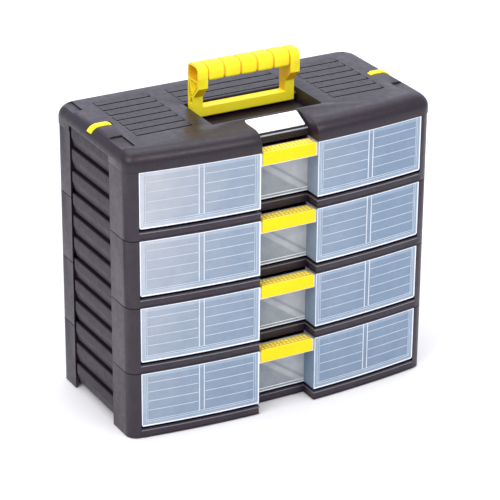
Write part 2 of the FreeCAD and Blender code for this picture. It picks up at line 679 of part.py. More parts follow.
def make_handle():
    """The carry handle: a ring with a hollow grip that stands forward of its legs."""
    body = new_body("carry_handle")
    front = "(pivot_back - leg_front)"
    back = "(pivot_back + leg_back)"
    nose = "(pivot_back - grip_front)"
    side = [
        (front, f"{AXIS_Z} - bar_below"),
        (back, f"{AXIS_Z} - bar_below"),
        (back, f"{AXIS_Z} + grip_top"),
        (nose, f"{AXIS_Z} + grip_top"),
        (nose, f"{AXIS_Z} + gusset_high"),
        (front, f"{AXIS_Z} + gusset_low"),
    ]
    prism(body, "side_view", "YZ_Plane", [side], "-1 * handle_half", "handle_half")
    window = rectangle("-1 * handle_half + leg_width", f"{AXIS_Z} + bar_above",
                       "handle_half - leg_width", f"{AXIS_Z} + grip_low")
    prism(body, "hand_opening", "XZ_Plane", [window], f"-1 * {FAR}", FAR, cut=True)
    top = number(f"{AXIS_Z} + grip_top")
    round_edges(body, "grip_rounds", "grip_round",
                lambda edge: edge.BoundBox.XLength > number("handle_half")
                and abs(edge.BoundBox.ZMax - top) < CLOSE)
    cavity = rectangle(f"{nose} + grip_wall", f"{AXIS_Z} + grip_low + grip_wall",
                       f"{back} - grip_wall", f"{AXIS_Z} + grip_top - grip_crown")
    prism(body, "grip_hollow", "YZ_Plane", [cavity], f"-1 * {FAR}", FAR, cut=True)
    for name, low, high in (
        ("bore_left", f"-1 * {FAR}", "-1 * handle_half + pin_depth"),
        ("bore_right", "handle_half - pin_depth", FAR),
    ):
        bore(body, name, "YZ_Plane", ("pivot_back", AXIS_Z), "(pin_radius + pin_running_gap)", low, high)


def make_handle_pin(side, hand):
    """A pivot pin, fast in the pocket's end wall and free in the handle's leg."""
    body = new_body(f"handle_pin_{hand}")
    inner = "(handle_half - pin_depth + pin_end_gap)"
    outer = "(pocket_half + case_wall)"
    low, high = (inner, outer) if side > 0 else (f"-1 * {outer}", f"-1 * {inner}")
    rod(body, "pin", "YZ_Plane", ("pivot_back", AXIS_Z), "pin_radius", low, high)


HANDS = ((-1, "left"), (1, "right"))
for tier in range(1, MODULES + 1):
    make_module(tier)
    make_drawer(tier)
    make_pull(tier)
    for side, hand in HANDS:
        make_divider(tier, side, hand)
make_cover()
make_label()
make_handle()
for side, hand in HANDS:
    make_handle_pin(side, hand)
    make_latch(side, hand)
    make_latch_pin(side, hand)
doc.recompute()

for item in doc.Objects:
    if "Invalid" in item.State or "Error" in item.State:
        raise ValueError(f"{item.Label} failed: {item.State}")
os.makedirs("parts", exist_ok=True)
for node in nodes:
    shape = node.Shape
    if shape.isNull() or not shape.isValid():
        raise ValueError(f"{node.Label} has no valid shape")
    shape.exportStep(f"parts/{node.Label}.step")
    print(node.Label, len(shape.Solids), round(shape.Volume), shape.BoundBox)
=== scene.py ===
import math

import bpy
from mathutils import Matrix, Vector


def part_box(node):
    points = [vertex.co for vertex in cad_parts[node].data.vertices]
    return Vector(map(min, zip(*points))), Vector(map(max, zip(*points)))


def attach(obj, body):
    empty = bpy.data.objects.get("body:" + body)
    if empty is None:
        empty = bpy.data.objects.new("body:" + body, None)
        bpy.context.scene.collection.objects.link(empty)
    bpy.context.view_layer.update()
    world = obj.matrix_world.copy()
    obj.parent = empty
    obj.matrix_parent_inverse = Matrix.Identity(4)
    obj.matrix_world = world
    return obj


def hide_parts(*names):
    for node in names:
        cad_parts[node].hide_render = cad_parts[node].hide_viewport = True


# Portable parts organizer: four louvred dark tiers with milky drawers, a rolled top cover,
# a yellow carry handle, yellow pulls and side latches. Sizes are millimetres until they are drawn.

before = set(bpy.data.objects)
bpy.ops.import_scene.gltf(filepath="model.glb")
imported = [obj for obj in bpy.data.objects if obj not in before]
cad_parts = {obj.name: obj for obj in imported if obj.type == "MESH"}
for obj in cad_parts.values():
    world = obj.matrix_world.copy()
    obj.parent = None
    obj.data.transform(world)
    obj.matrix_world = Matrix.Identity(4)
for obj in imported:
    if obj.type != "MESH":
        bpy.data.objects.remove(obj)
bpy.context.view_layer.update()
MM = 0.001


def box_mm(node):
    low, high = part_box(node)
    return low / MM, high / MM


shell_low, shell_high = box_mm("module_1")
cover_high = box_mm("top_cover")[1]
pull_low, pull_high = box_mm("drawer_pull_1")

# The case: a bowed front with a finger notch in its middle, posts beside the drawers,
# louvred side panels between corner columns, and a deck behind the bottom rail.
HALF = shell_high.x
FRONT = shell_low.y
BACK = shell_high.y
PITCH = box_mm("module_2")[0].z - shell_low.z
TIERS = 4
NOTCH_HALF = 34.8
NOTCH_BACK = FRONT + 22.0
BOW = 14.4
BOW_CENTRE = ((HALF ** 2 - NOTCH_HALF ** 2) / BOW + FRONT + FRONT + BOW) / 2
BOW_RADIUS = math.hypot(HALF, BOW_CENTRE - FRONT - BOW)
CORNER_ROUND = 13.0
POST = 172.0
WALL = 2.5
PANEL_FRONT = -38.5
PANEL_BACK = 57.1
PANEL_RAISE = 6.8
PANEL_INNER = HALF - 8.0
RAIL_TOP = 13.0
DECK = 2.4
COVER_LOW = TIERS * PITCH
COVER_TOP = cover_high.z
COVER_HALF = cover_high.x

# A cutter reaches this far past the faces that it opens, and a tongue sinks this far into its neighbour.
PAST = 5.0
BITE = 0.01


# ---- modelling by hand: outlines, solids, cuts and rounded edges ----

def take(piece, *others):
    """Selects the pieces, with the first one active."""
    bpy.ops.object.select_all(action="DESELECT")
    for item in (piece, *others):
        item.select_set(True)
    bpy.context.view_layer.objects.active = piece


def pull_out(metres):
    """Extrudes what is selected, in edit mode."""
    bpy.ops.mesh.extrude_region_move(TRANSFORM_OT_translate={"value": metres})


def outline(name, points):
    """A face drawn corner by corner, from a plane drawn together to the first corner."""
    places = [Vector(point) * MM for point in points]
    bpy.ops.object.select_all(action="DESELECT")
    bpy.ops.mesh.primitive_plane_add(size=MM, location=places[0])
    piece = bpy.context.object
    piece.name = name
    bpy.ops.object.mode_set(mode="EDIT")
    bpy.ops.mesh.select_mode(type="VERT")
    bpy.ops.mesh.merge(type="CENTER")
    for here, there in zip(places, places[1:]):
        pull_out(there - here)
    bpy.ops.mesh.select_all(action="SELECT")
    bpy.ops.mesh.edge_face_add()
    bpy.ops.object.mode_set(mode="OBJECT")
    bpy.ops.object.transform_apply()
    return piece


def face_outwards():
    """Turns every face of a finished solid outwards and leaves edit mode."""
    bpy.ops.mesh.select_all(action="SELECT")
    bpy.ops.mesh.normals_make_consistent(inside=False)
    bpy.ops.object.mode_set(mode="OBJECT")


def prism(name, points, reach):
    """A solid pulled out of an outline."""
    piece = outline(name, points)
    bpy.ops.object.mode_set(mode="EDIT")
    bpy.ops.mesh.select_all(action="SELECT")
    pull_out(Vector(reach) * MM)
    face_outwards()
    return piece


def block(name, low, high):
    """A box between two corners."""
    low, high = Vector(low), Vector(high)
    bpy.ops.object.select_all(action="DESELECT")
    bpy.ops.mesh.primitive_cube_add(size=1, location=(low + high) / 2 * MM, scale=(high - low) * MM)
    piece = bpy.context.object
    piece.name = name
    bpy.ops.object.transform_apply()
    return piece


def mirrored_block(name, low, high):
    """A box on the right and its twin on the left."""
    right = block(name, low, high)
    left = block(name, (-high[0], low[1], low[2]), (-low[0], high[1], high[2]))
    return joined(right, left)


def joined(piece, *others):
    take(piece, *others)
    bpy.ops.object.join()
    return piece


def copied(piece, name, shift=(0, 0, 0), mirror=False):
    """A copy with its own mesh, moved, or mirrored from right to left."""
    twin = piece.copy()
    twin.data = piece.data.copy()
    twin.name = name
    bpy.context.scene.collection.objects.link(twin)
    take(twin)
    if mirror:
        twin.scale.x = -1
    twin.location = Vector(shift) * MM
    bpy.ops.object.transform_apply()
    if mirror:
        bpy.ops.object.mode_set(mode="EDIT")
        face_outwards()
    return twin


def combine(piece, operation, *others):
    """Cuts the others out of the piece, or makes one solid of them."""
    for other in others:
        modifier = piece.modifiers.new("combine", "BOOLEAN")
        modifier.operation = operation
        modifier.solver = "EXACT"
        modifier.object = other
        take(piece)
        bpy.ops.object.modifier_apply(modifier=modifier.name)
        bpy.data.objects.remove(other)
    return piece


def carve(piece, *others):
    return combine(piece, "DIFFERENCE", *others)


def fuse(piece, *others):
    return combine(piece, "UNION", *others)


def soften(piece, width, segments=2, angle=32):
    """Rounds every sharp edge a little, and smooths the shading between sharp edges."""
    bevel = piece.modifiers.new("soften", "BEVEL")
    bevel.width = width * MM
    bevel.segments = segments
    bevel.limit_method = "ANGLE"
    bevel.angle_limit = math.radians(angle)
    bevel.harden_normals = False
    take(piece)
    bpy.ops.object.modifier_apply(modifier=bevel.name)
    bpy.ops.object.shade_smooth_by_angle(angle=math.radians(angle))
    return piece


def pick(piece, kind, test):
    """Enters edit mode with only the edges or faces selected whose middle and direction pass the test."""
    take(piece)
    bpy.ops.object.mode_set(mode="EDIT")
    bpy.ops.mesh.select_mode(type=kind)
    bpy.ops.mesh.select_all(action="DESELECT")
    bpy.ops.object.mode_set(mode="OBJECT")
    mesh = piece.data
    if kind == "FACE":
        for face in mesh.polygons:
            face.select = test(face.center / MM, face.normal)
    else:
        for edge in mesh.edges:
            first, last = (mesh.vertices[index].co for index in edge.vertices)
            edge.select = test((first + last) / 2 / MM, (last - first).normalized())
    bpy.ops.object.mode_set(mode="EDIT")


def round_edges(piece, width, segments, test):
    """A rounding of the edges that the test picks."""
    pick(piece, "EDGE", test)
    bpy.ops.mesh.bevel(offset=width * MM, segments=segments, affect="EDGES")
    bpy.ops.object.mode_set(mode="OBJECT")


def plan(points, z):
    return [(x, y, z) for x, y in points]


def side_view(points, x):
    return [(x, y, z) for y, z in points]


def front_view(points, y):
    return [(x, y, z) for x, z in points]


def rounded(corners, steps=7):
    """An outline whose corners given as (across, along, radius) are turned into arcs."""
    drawn = []
    for index, (across, along, *radius) in enumerate(corners):
        here = Vector((across, along))
        if not radius:
            drawn.append(tuple(here))
            continue
        before = (Vector(corners[index - 1][:2]) - here).normalized()
        after = (Vector(corners[(index + 1) % len(corners)][:2]) - here).normalized()
        half = before.angle(after) / 2
        centre = here + (before + after).normalized() * radius[0] / math.sin(half)
        reach = radius[0] / math.tan(half)
        first = here + before * reach - centre
        last = here + after * reach - centre
        turn = math.pi - 2 * half
        for step in range(steps + 1):
            share = step / steps
            mixed = first * math.sin((1 - share) * turn) + last * math.sin(share * turn)
            drawn.append(tuple(centre + mixed / math.sin(turn)))
    return drawn


def front_at(across, inset=0.0):
    """Y of the bowed front."""
    return BOW_CENTRE - math.sqrt((BOW_RADIUS - inset) ** 2 - across ** 2)


def along_bow(start, end, steps, inset=0.0):
    places = [start + (end - start) * step / steps for step in range(steps + 1)]
    return [(across, front_at(across, inset)) for across in places]


def bowed_plan(half, back, inset, notch_half=None, notch_back=None, radius=None, steps=12):
    """A plan with the bowed front, and maybe a finger notch and rounded corners."""
    rest = [radius] if radius else []
    if notch_half is None:
        front = along_bow(-half, half, 2 * steps, inset)
    else:
        front = [
            *along_bow(-half, -notch_half, steps, inset),
            (-notch_half, notch_back),
            (notch_half, notch_back),
            *along_bow(notch_half, half, steps, inset),
        ]
    front[0] = (*front[0], *rest)
    front[-1] = (*front[-1], *rest)
    return rounded([*front, (half, back, *rest), (-half, back, *rest)])


def front_path(half, inset, steps=12):
    """The line along the bowed front and round the finger notch, set in by so much."""
    step = NOTCH_HALF + inset
    return [*along_bow(-half, -step, steps, inset), (-step, NOTCH_BACK + inset),
            (step, NOTCH_BACK + inset), *along_bow(step, half, steps, inset)]


def front_strip(name, half, outer, inner, z, height):
    """A strip along the front, between two insets."""
    path = [*front_path(half, outer), *reversed(front_path(half, inner))]
    return prism(name, plan(path, z), (0, 0, height))


# ---- finishes ----

def new_finish(name, sockets):
    """A material whose constant values sit on its shader."""
    finish = bpy.data.materials.new(name)
    finish.use_nodes = True
    shader = finish.node_tree.nodes["Principled BSDF"]
    for socket, value in sockets.items():
        shader.inputs[socket].default_value = value
    return finish, shader


def add_node(finish, kind, inputs, **settings):
    made = finish.node_tree.nodes.new(kind)
    for name, value in settings.items():
        setattr(made, name, value)
    for socket, value in inputs.items():
        if isinstance(value, bpy.types.NodeSocket):
            finish.node_tree.links.new(value, made.inputs[socket])
        else:
            made.inputs[socket].default_value = value
    return made


def connect(finish, source, shader, socket):
    finish.node_tree.links.new(source, shader.inputs[socket])


def own_place(finish):
    """The piece's own coordinates, in metres."""
    return add_node(finish, "ShaderNodeTexCoord", {}).outputs["Object"]


def own_axes(finish):
    return add_node(finish, "ShaderNodeSeparateXYZ", {"Vector": own_place(finish)}).outputs


def worked_out(finish, operation, *values):
    """A sum done by the finish itself."""
    made = add_node(finish, "ShaderNodeMath", dict(enumerate(values)), operation=operation)
    return made.outputs["Value"]


def grain(finish, scale, detail=3.0, rough=0.6, stretch=(1, 1, 1)):
    """Noise on the piece's own coordinates; scale is in grains to the metre."""
    turned = add_node(finish, "ShaderNodeMapping", {"Vector": own_place(finish), "Scale": stretch})
    noise = add_node(finish, "ShaderNodeTexNoise", {
        "Vector": turned.outputs["Vector"], "Scale": scale, "Detail": detail, "Roughness": rough})
    return noise.outputs["Fac"]


def between(finish, share, low, high, start=0.3, end=0.7):
    """Low at the start of the share's range and high at its end."""
    spread = add_node(finish, "ShaderNodeMapRange", {
        "Value": share, "From Min": start, "From Max": end, "To Min": low, "To Max": high})
    return spread.outputs["Result"]


def blended(finish, share, first, second):
    """Two colours mixed by a share."""
    mix = finish.node_tree.nodes.new("ShaderNodeMix")
    mix.data_type = "RGBA"
    finish.node_tree.links.new(share, mix.inputs[0])
    for place, colour in ((6, first), (7, second)):
        if isinstance(colour, bpy.types.NodeSocket):
            finish.node_tree.links.new(colour, mix.inputs[place])
        else:
            mix.inputs[place].default_value = (*colour, 1)
    return mix.outputs[2]


def worn_edges(finish, colour, worn, amount):
    """Lightens the outward edges, where handling polishes them."""
    edge = add_node(finish, "ShaderNodeNewGeometry", {}).outputs["Pointiness"]
    patchy = between(finish, grain(finish, 90, 4), 0.2, 1.0)
    share = between(finish, edge, 0.0, amount, 0.53, 0.62)
    return blended(finish, worked_out(finish, "MULTIPLY", share, patchy), colour, worn)


def grain_bump(finish, shader, scale, depth, strength, below=None):
    height = grain(finish, scale, 3.0)
    inputs = {"Height": height, "Distance": depth * MM, "Strength": strength}
    if below is not None:
        inputs["Normal"] = below
    bump = add_node(finish, "ShaderNodeBump", inputs)
    connect(finish, bump.outputs["Normal"], shader, "Normal")
    return bump.outputs["Normal"]


def moulded_plastic(name, deep, pale, worn, rough, speckle, wear=0.5, grain_depth=0.12, shine=0.5):
    """Satin injection-moulded plastic: spark-eroded grain, faint flow clouds, polished edges."""
    finish, shader = new_finish(name, {"Specular IOR Level": shine})
    clouds = between(finish, grain(finish, 26, 4), 0.0, 1.0)
    colour = blended(finish, clouds, deep, pale)
    specks = between(finish, grain(finish, 620, 2, 0.7), 0.0, speckle)
    colour = blended(finish, specks, colour, worn)
    colour = worn_edges(finish, colour, worn, wear)
    connect(finish, colour, shader, "Base Color")
    connect(finish, between(finish, grain(finish, 140, 4), *rough), shader, "Roughness")
    first = grain_bump(finish, shader, 950, grain_depth, 0.35)
    grain_bump(finish, shader, 240, grain_depth * 1.5, 0.25, first)
    return finish


def painted_pane_light(finish, clouds):
    """Painted light: the plastic is painted milkier at the left of each pane and towards the upper tiers,
    where more light falls.
    """
    axes = own_axes(finish)
    left_pane = between(finish, axes["X"], 0.80, 0.0, -0.165, -0.07)
    right_pane = between(finish, axes["X"], 0.34, 0.0, 0.03, 0.13)
    higher = between(finish, axes["Z"], 0.30, 1.0, 0.05, 0.29)
    ends = worked_out(finish, "MULTIPLY", worked_out(finish, "ADD", left_pane, right_pane), higher)
    return worked_out(finish, "ADD", ends, between(finish, clouds, -0.10, 0.04, 0.0, 1.0))


def milky_plastic(name, deep, pale, clear, rough, takes_painted_light=False):
    """Translucent polypropylene: milky, a little cloudy, with a fine frosted skin."""
    finish, shader = new_finish(name, {"Specular IOR Level": 0.5, "IOR": 1.49})
    clouds = between(finish, grain(finish, 34, 4), 0.0, 1.0)
    # Painted light, if asked for: the panes are painted milkier to the left and higher up.
    if takes_painted_light:
        clouds = painted_pane_light(finish, clouds)
    colour = blended(finish, clouds, deep, pale)
    specks = between(finish, grain(finish, 680, 2, 0.7), 0.0, 0.22)
    connect(finish, blended(finish, specks, colour, pale), shader, "Base Color")
    connect(finish, between(finish, grain(finish, 160, 3), *rough), shader, "Roughness")
    connect(finish, between(finish, grain(finish, 60, 3), *clear), shader, "Alpha")
    grain_bump(finish, shader, 500, 0.06, 0.3)
    return finish


# The middle panel's painted light bands, standing for lit things seen through it: their slant, how far up
# the panel they run (in metres), and how light the panel is painted at shares of that way.
BAND_SLANT = 0.695
BAND_REACH = 0.08
PAINTED_BAND_LIGHT = ((0.0, 0.10), (0.42, 0.22), (0.45, 0.70), (0.51, 0.74), (0.53, 0.34), (0.56, 0.30),
               (0.58, 0.76), (0.70, 0.90), (1.0, 1.0))


def painted_band_panel():
    """The clear middle panel: painted light bands slant across it, standing for lit things behind it."""
    finish, shader = new_finish("clear_plastic_middle_painted_bands", {"Specular IOR Level": 0.5, "IOR": 1.49})
    axes = own_axes(finish)
    level = worked_out(finish, "MODULO", axes["Z"], PITCH * MM)
    slant = worked_out(finish, "MULTIPLY_ADD", axes["X"], BAND_SLANT, level)
    ramp = add_node(finish, "ShaderNodeValToRGB", {"Fac": between(finish, slant, 0.0, 1.0, 0.0, BAND_REACH)})
    stops = ramp.color_ramp.elements
    while len(stops) < len(PAINTED_BAND_LIGHT):
        stops.new(0.5)
    for stop, (position, share) in zip(stops, PAINTED_BAND_LIGHT):
        stop.position = position
        stop.color = (share, share, share, 1)
    cloudy = blended(finish, between(finish, grain(finish, 70, 4), 0.0, 0.35), ramp.outputs["Color"],
                     (0.5, 0.5, 0.5))
    colour = blended(finish, cloudy, (0.22, 0.27, 0.31), (0.72, 0.74, 0.75))
    connect(finish, colour, shader, "Base Color")
    connect(finish, between(finish, grain(finish, 160, 3), 0.25, 0.4), shader, "Roughness")
    connect(finish, between(finish, grain(finish, 60, 3), 0.70, 0.82), shader, "Alpha")
    grain_bump(finish, shader, 500, 0.06, 0.3)
    return finish


def card_finish():
    """Matt white card with a paper tooth."""
    finish, shader = new_finish("label_card_white", {"Specular IOR Level": 0.3, "Roughness": 0.75})
    fibres = between(finish, grain(finish, 420, 4, stretch=(1, 3, 1)), 0.0, 1.0)
    connect(finish, blended(finish, fibres, (0.93, 0.93, 0.94), (0.99, 0.99, 0.99)), shader, "Base Color")
    grain_bump(finish, shader, 900, 0.05, 0.4)
    return finish


def steel_finish():
    """Bright drawn steel, with fine lines round the rod."""
    finish, shader = new_finish("pin_steel_drawn", {"Metallic": 1.0})
    lines = grain(finish, 900, 3, stretch=(6, 1, 1))
    connect(finish, blended(finish, lines, (0.42, 0.43, 0.45), (0.62, 0.63, 0.65)), shader, "Base Color")
    connect(finish, between(finish, lines, 0.22, 0.4), shader, "Roughness")
    grain_bump(finish, shader, 700, 0.03, 0.3)
    return finish


# Each moulded plastic's deep, pale and worn colours, its roughness and its share of speckle;
# each milky plastic's deep and pale colours, its opacity and its roughness.
dark_case = moulded_plastic(
    "case_plastic_dark", (0.0075, 0.0028, 0.0075), (0.012, 0.005, 0.012), (0.040, 0.028, 0.042),
    (0.32, 0.46), 0.4, shine=0.42)
louvre_skin = moulded_plastic(
    "case_plastic_louvre", (0.0065, 0.0025, 0.0065), (0.011, 0.005, 0.011), (0.038, 0.026, 0.040),
    (0.40, 0.54), 0.4, shine=0.27)
yellow = moulded_plastic(
    "yellow_plastic_glossy", (1.0, 0.80, 0.006), (1.0, 0.84, 0.010), (1.0, 0.92, 0.08),
    (0.34, 0.48), 0.3, wear=0.35, grain_depth=0.08, shine=0.14)
pull_yellow = moulded_plastic(
    "yellow_plastic_pull", (0.98, 0.63, 0.002), (1.0, 0.69, 0.003), (1.0, 0.80, 0.04),
    (0.34, 0.48), 0.3, wear=0.35, grain_depth=0.08, shine=0.14)
# A deeper orange copy of the pull's yellow: painted shade on the top face between the ridges.
pull_painted_shade = moulded_plastic(
    "yellow_plastic_pull_painted_shade", (0.90, 0.52, 0.003), (0.94, 0.60, 0.004), (1.0, 0.80, 0.05),
    (0.38, 0.52), 0.3, wear=0.3, grain_depth=0.08, shine=0.14)
# A deeper orange copy of the handle's yellow: painted shade for its hollows, grooves, rib beds and
# underside.
yellow_painted_shade = moulded_plastic(
    "yellow_plastic_painted_shade", (0.85, 0.46, 0.004), (0.90, 0.52, 0.006), (0.95, 0.70, 0.02),
    (0.40, 0.55), 0.2, wear=0.2, grain_depth=0.08, shine=0.3)
# The window pane and its band take painted light (the last argument): milkier to the left and higher up.
window_milk = milky_plastic(
    "clear_plastic_window", (0.18, 0.275, 0.40), (0.46, 0.49, 0.535), (0.84, 0.92), (0.30, 0.42), True)
window_band = milky_plastic(
    "clear_plastic_band", (0.26, 0.37, 0.50), (0.54, 0.58, 0.63), (0.86, 0.94), (0.26, 0.38), True)
window_line = milky_plastic(
    "clear_plastic_line", (0.52, 0.60, 0.70), (0.62, 0.68, 0.75), (0.86, 0.94), (0.26, 0.38))
window_rib = milky_plastic(
    "clear_plastic_rib", (0.64, 0.71, 0.79), (0.74, 0.79, 0.84), (0.86, 0.94), (0.26, 0.38))
# Near-white clear plastic: painted highlight lines on the panes' frame edges, the handle bar and the foot
# lines.
window_edge_painted_highlight = milky_plastic(
    "clear_plastic_edge_painted_highlight", (0.86, 0.91, 0.97), (0.94, 0.97, 1.0), (0.90, 0.98), (0.20, 0.32))
tray_milk = milky_plastic(
    "clear_plastic_tray", (0.52, 0.58, 0.63), (0.70, 0.74, 0.78), (0.34, 0.44), (0.22, 0.36))
divider_milk = milky_plastic(
    "divider_plastic_milky", (0.74, 0.78, 0.82), (0.84, 0.88, 0.92), (0.50, 0.62), (0.28, 0.42))
middle_painted_bands = painted_band_panel()
# A paler, bluish copy of the dark plastic for the rail's bead: partly real shine, partly a painted highlight
# line of sky light.
rail_bead_painted_highlight = moulded_plastic(
    "case_plastic_bead_painted_highlight", (0.080, 0.086, 0.105), (0.110, 0.118, 0.140), (0.20, 0.21, 0.24),
    (0.14, 0.22), 0.4, shine=0.9)
# A paler copy of the yellow on a shinier surface: painted highlights on the pull's ridges and edge dots.
yellow_painted_glint = moulded_plastic(
    "yellow_plastic_painted_glint", (1.0, 0.86, 0.10), (1.0, 0.90, 0.20), (1.0, 0.95, 0.40),
    (0.2, 0.3), 0.5, wear=0.4, grain_depth=0.08, shine=0.5)
label_lip = milky_plastic(
    "label_lip_plastic", (0.30, 0.36, 0.44), (0.44, 0.50, 0.58), (0.90, 0.96), (0.15, 0.25))
card_white = card_finish()
pin_steel = steel_finish()


def paint(piece, *finishes):
    piece.data.materials.clear()
    for finish in finishes:
        piece.data.materials.append(finish)


def repaint(piece, test):
    """Gives the second finish to the faces whose middle and direction pass the test."""
    for face in piece.data.polygons:
        if test(face.center / MM, face.normal):
            face.material_index = 1


def settle(piece, body, slot, *nodes):
    """The piece stands for CAD nodes and rides on their body; the slot is not used."""
    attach(piece, body)
    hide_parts(*nodes)


# ---- tiers ----

SLATS = 3
SLAT_PITCH = PITCH / SLATS
SLAT_GAP = 2.4
SLAT_ROOT = PANEL_INNER - 0.4
SEAM = 0.45
LEDGE = 10.6
LEDGE_DEPTH = 4.5
BEAD_DROP = 2.4
PANEL_FIT = 0.3
LUG_GAP = 0.4
LUG_RISE = 3
SLOT_HALF, SLOT_FRONT, SLOT_BACK = 6, -55, 86
GROOVE_HALF_LENGTH, GROOVE_HALF_WIDTH, GROOVE_DEPTH = 150, 1.4, 0.9
RIB_LOW = 4.5
RIB_THICK = 1.6


def make_slats():
    """One side's leaning slats, drawn as one profile and repeated upwards."""
    face = HALF - 0.7
    profile = rounded([
        (SLAT_ROOT, SLAT_GAP),
        (HALF - 3.6, SLAT_GAP, 0.4),
        (face, SLAT_PITCH * 0.56, 3.0),
        (face, SLAT_PITCH - 0.5, 0.4),
        (face - 1.0, SLAT_PITCH, 0.3),
        (SLAT_ROOT, SLAT_PITCH - 1.0),
    ], steps=3)
    first = prism("slat", front_view(profile, PANEL_FRONT + PANEL_FIT),
                  (0, PANEL_BACK - PANEL_FRONT - 3.3, 0))
    take(first)
    first.location.z = PANEL_RAISE * MM
    bpy.ops.object.transform_apply()
    soften(first, 0.2, 1)
    slats = [first]
    for count in range(1, SLATS):
        slats.append(copied(first, "slat", (0, 0, count * SLAT_PITCH)))
    return joined(*slats)


def make_tier():
    """One tier's shell: deck and rail, posts, columns, back wall and louvred sides."""
    far = 2 * HALF
    column_front, column_back = FRONT + BOW + CORNER_ROUND, BACK - CORNER_ROUND
    outer = bowed_plan(HALF, BACK, 0, NOTCH_HALF, NOTCH_BACK, CORNER_ROUND)
    tier = prism("tier", plan(outer, SEAM), (0, 0, PITCH - 2 * SEAM))
    carve(tier, block("bay", (-POST, -far, RAIL_TOP), (POST, BACK - WALL, far)))
    carve(tier, mirrored_block("side_bay", (POST - 2, column_front, RAIL_TOP),
                               (PANEL_INNER - WALL, BACK - WALL, far)))
    under = bowed_plan(HALF - WALL, BACK - WALL, WALL, NOTCH_HALF + WALL, NOTCH_BACK + WALL, 8.0)
    carve(tier, prism("under_deck", plan(under, -PAST), (0, 0, PAST + RAIL_TOP - DECK)))
    carve(tier, mirrored_block("panel_foot", (PANEL_INNER - WALL, PANEL_FRONT, -PAST),
                               (far, PANEL_BACK, PANEL_RAISE)))
    carve(tier, mirrored_block("panel_bed", (PANEL_INNER, PANEL_FRONT, -PAST), (far, PANEL_BACK, far)))
    carve(tier, mirrored_block("back_hollow", (PANEL_INNER, PANEL_BACK + WALL, -PAST),
                               (HALF - WALL, column_back, PITCH - WALL)))
    carve(tier, mirrored_block("front_hollow", (PANEL_INNER, column_front, -PAST),
                               (HALF - WALL, PANEL_FRONT - WALL, PITCH - WALL)))
    carve(tier, block("stop_slot", (-SLOT_HALF, SLOT_FRONT, RAIL_TOP - PAST),
                      (SLOT_HALF, SLOT_BACK, RAIL_TOP + 2)))
    carve(tier, front_strip("ledge", POST + BITE, -1.0, LEDGE_DEPTH, LEDGE, 10))
    carve(tier, mirrored_block("column_undercut", (PANEL_INNER, PANEL_BACK - 1, -PAST),
                               (HALF - 1.2, PANEL_BACK + 1.6, far)))
    grooves = []
    for count in range(SLATS):
        middle = PANEL_RAISE + count * SLAT_PITCH
        low = (-GROOVE_HALF_LENGTH, BACK - GROOVE_DEPTH, middle - GROOVE_HALF_WIDTH)
        high = (GROOVE_HALF_LENGTH, BACK + PAST, middle + GROOVE_HALF_WIDTH)
        grooves.append(block("groove", low, high))
    carve(tier, joined(*grooves))
    fuse(tier, mirrored_block("panel_wall", (PANEL_INNER - WALL, PANEL_FRONT + PANEL_FIT, RAIL_TOP + 20),
                              (PANEL_INNER + BITE, PANEL_BACK - PANEL_FIT, PITCH + PANEL_RAISE - PANEL_FIT)))
    lug_low, lug_high, lug_out = PITCH - 1, PITCH + LUG_RISE, HALF - WALL - LUG_GAP
    fuse(tier, mirrored_block("lug_back", (PANEL_INNER + LUG_GAP, PANEL_BACK + WALL + LUG_GAP, lug_low),
                              (lug_out, column_back - LUG_GAP, lug_high)))
    fuse(tier, mirrored_block("lug_front", (PANEL_INNER + LUG_GAP, column_front + LUG_GAP, lug_low),
                              (lug_out, PANEL_FRONT - WALL - LUG_GAP, lug_high)))
    soften(tier, 0.55, 2)
    rib_top = RAIL_TOP - DECK + 0.1
    ribs = [block("rib", (-170, y, RIB_LOW), (170, y + RIB_THICK, rib_top)) for y in (-45, -8, 29, 66)]
    ribs += [block("rib", (x, -86, RIB_LOW), (x + RIB_THICK, 88, rib_top)) for x in (-120, -60, 58, 118)]
    ribs.append(soften(front_strip("lip", POST, -SEAM, 0.8, 0.5, 1.3), 0.3, 2))
    # The bead along the rail is painted paler as a highlight line.
    bead = soften(front_strip("bead", POST, -0.6, 0.6, LEDGE - BEAD_DROP, 1.2), 0.3, 2)
    paint(bead, rail_bead_painted_highlight)
    paint(tier, dark_case, louvre_skin)
    slats = make_slats()
    paint(slats, louvre_skin)
    for rib in ribs:
        paint(rib, dark_case)
    return joined(tier, slats, copied(slats, "slats_left", mirror=True), bead, *ribs)


# ---- drawers ----

WINDOW_HALF = 171.5
WINDOW_LOW = 13.5
WINDOW_TOP = pull_high.z
WINDOW_WALL = 2.0
WINDOW_CORNER = 2.4
RETURN_WALL = 1.8
TRAY_HALF = 170.3
TRAY_BACK = 85.6
TRAY_TOP = 65.5
TRAY_WALL = 1.7
TRAY_FLOOR = 15.0
BAR_LOW, BAR_SHELF, BAR_TOP = pull_low.z - 1.6, 72.9, 74.7
RIB_PLACE = 103.0
LINE_DROPS = (12, 23, 34, 45)
LINE_WIDE = 0.8


def ring(piece, thickness, depth, finish):
    """Insets the selected faces; the ring left round them takes the finish."""
    piece.active_material_index = finish
    bpy.ops.object.material_slot_assign()
    bpy.ops.mesh.inset(thickness=thickness * MM, depth=depth * MM, use_boundary=True)


def window_strip(start, end, z, height, proud):
    """A fine raised line that follows the bowed pane."""
    strip = prism("strip", plan([
        *along_bow(start, end, 8, proud),
        *along_bow(end, start, 8, 1.3),
    ], z), (0, 0, height))
    return soften(strip, 0.12, 1)


def window_post(across, width, low):
    """A fine upright line on the pane."""
    y = front_at(across)
    post = block("post", (across - width / 2, y + 0.1, low),
                 (across + width / 2, y + 1.4, WINDOW_TOP - 0.9))
    return soften(post, 0.12, 1)


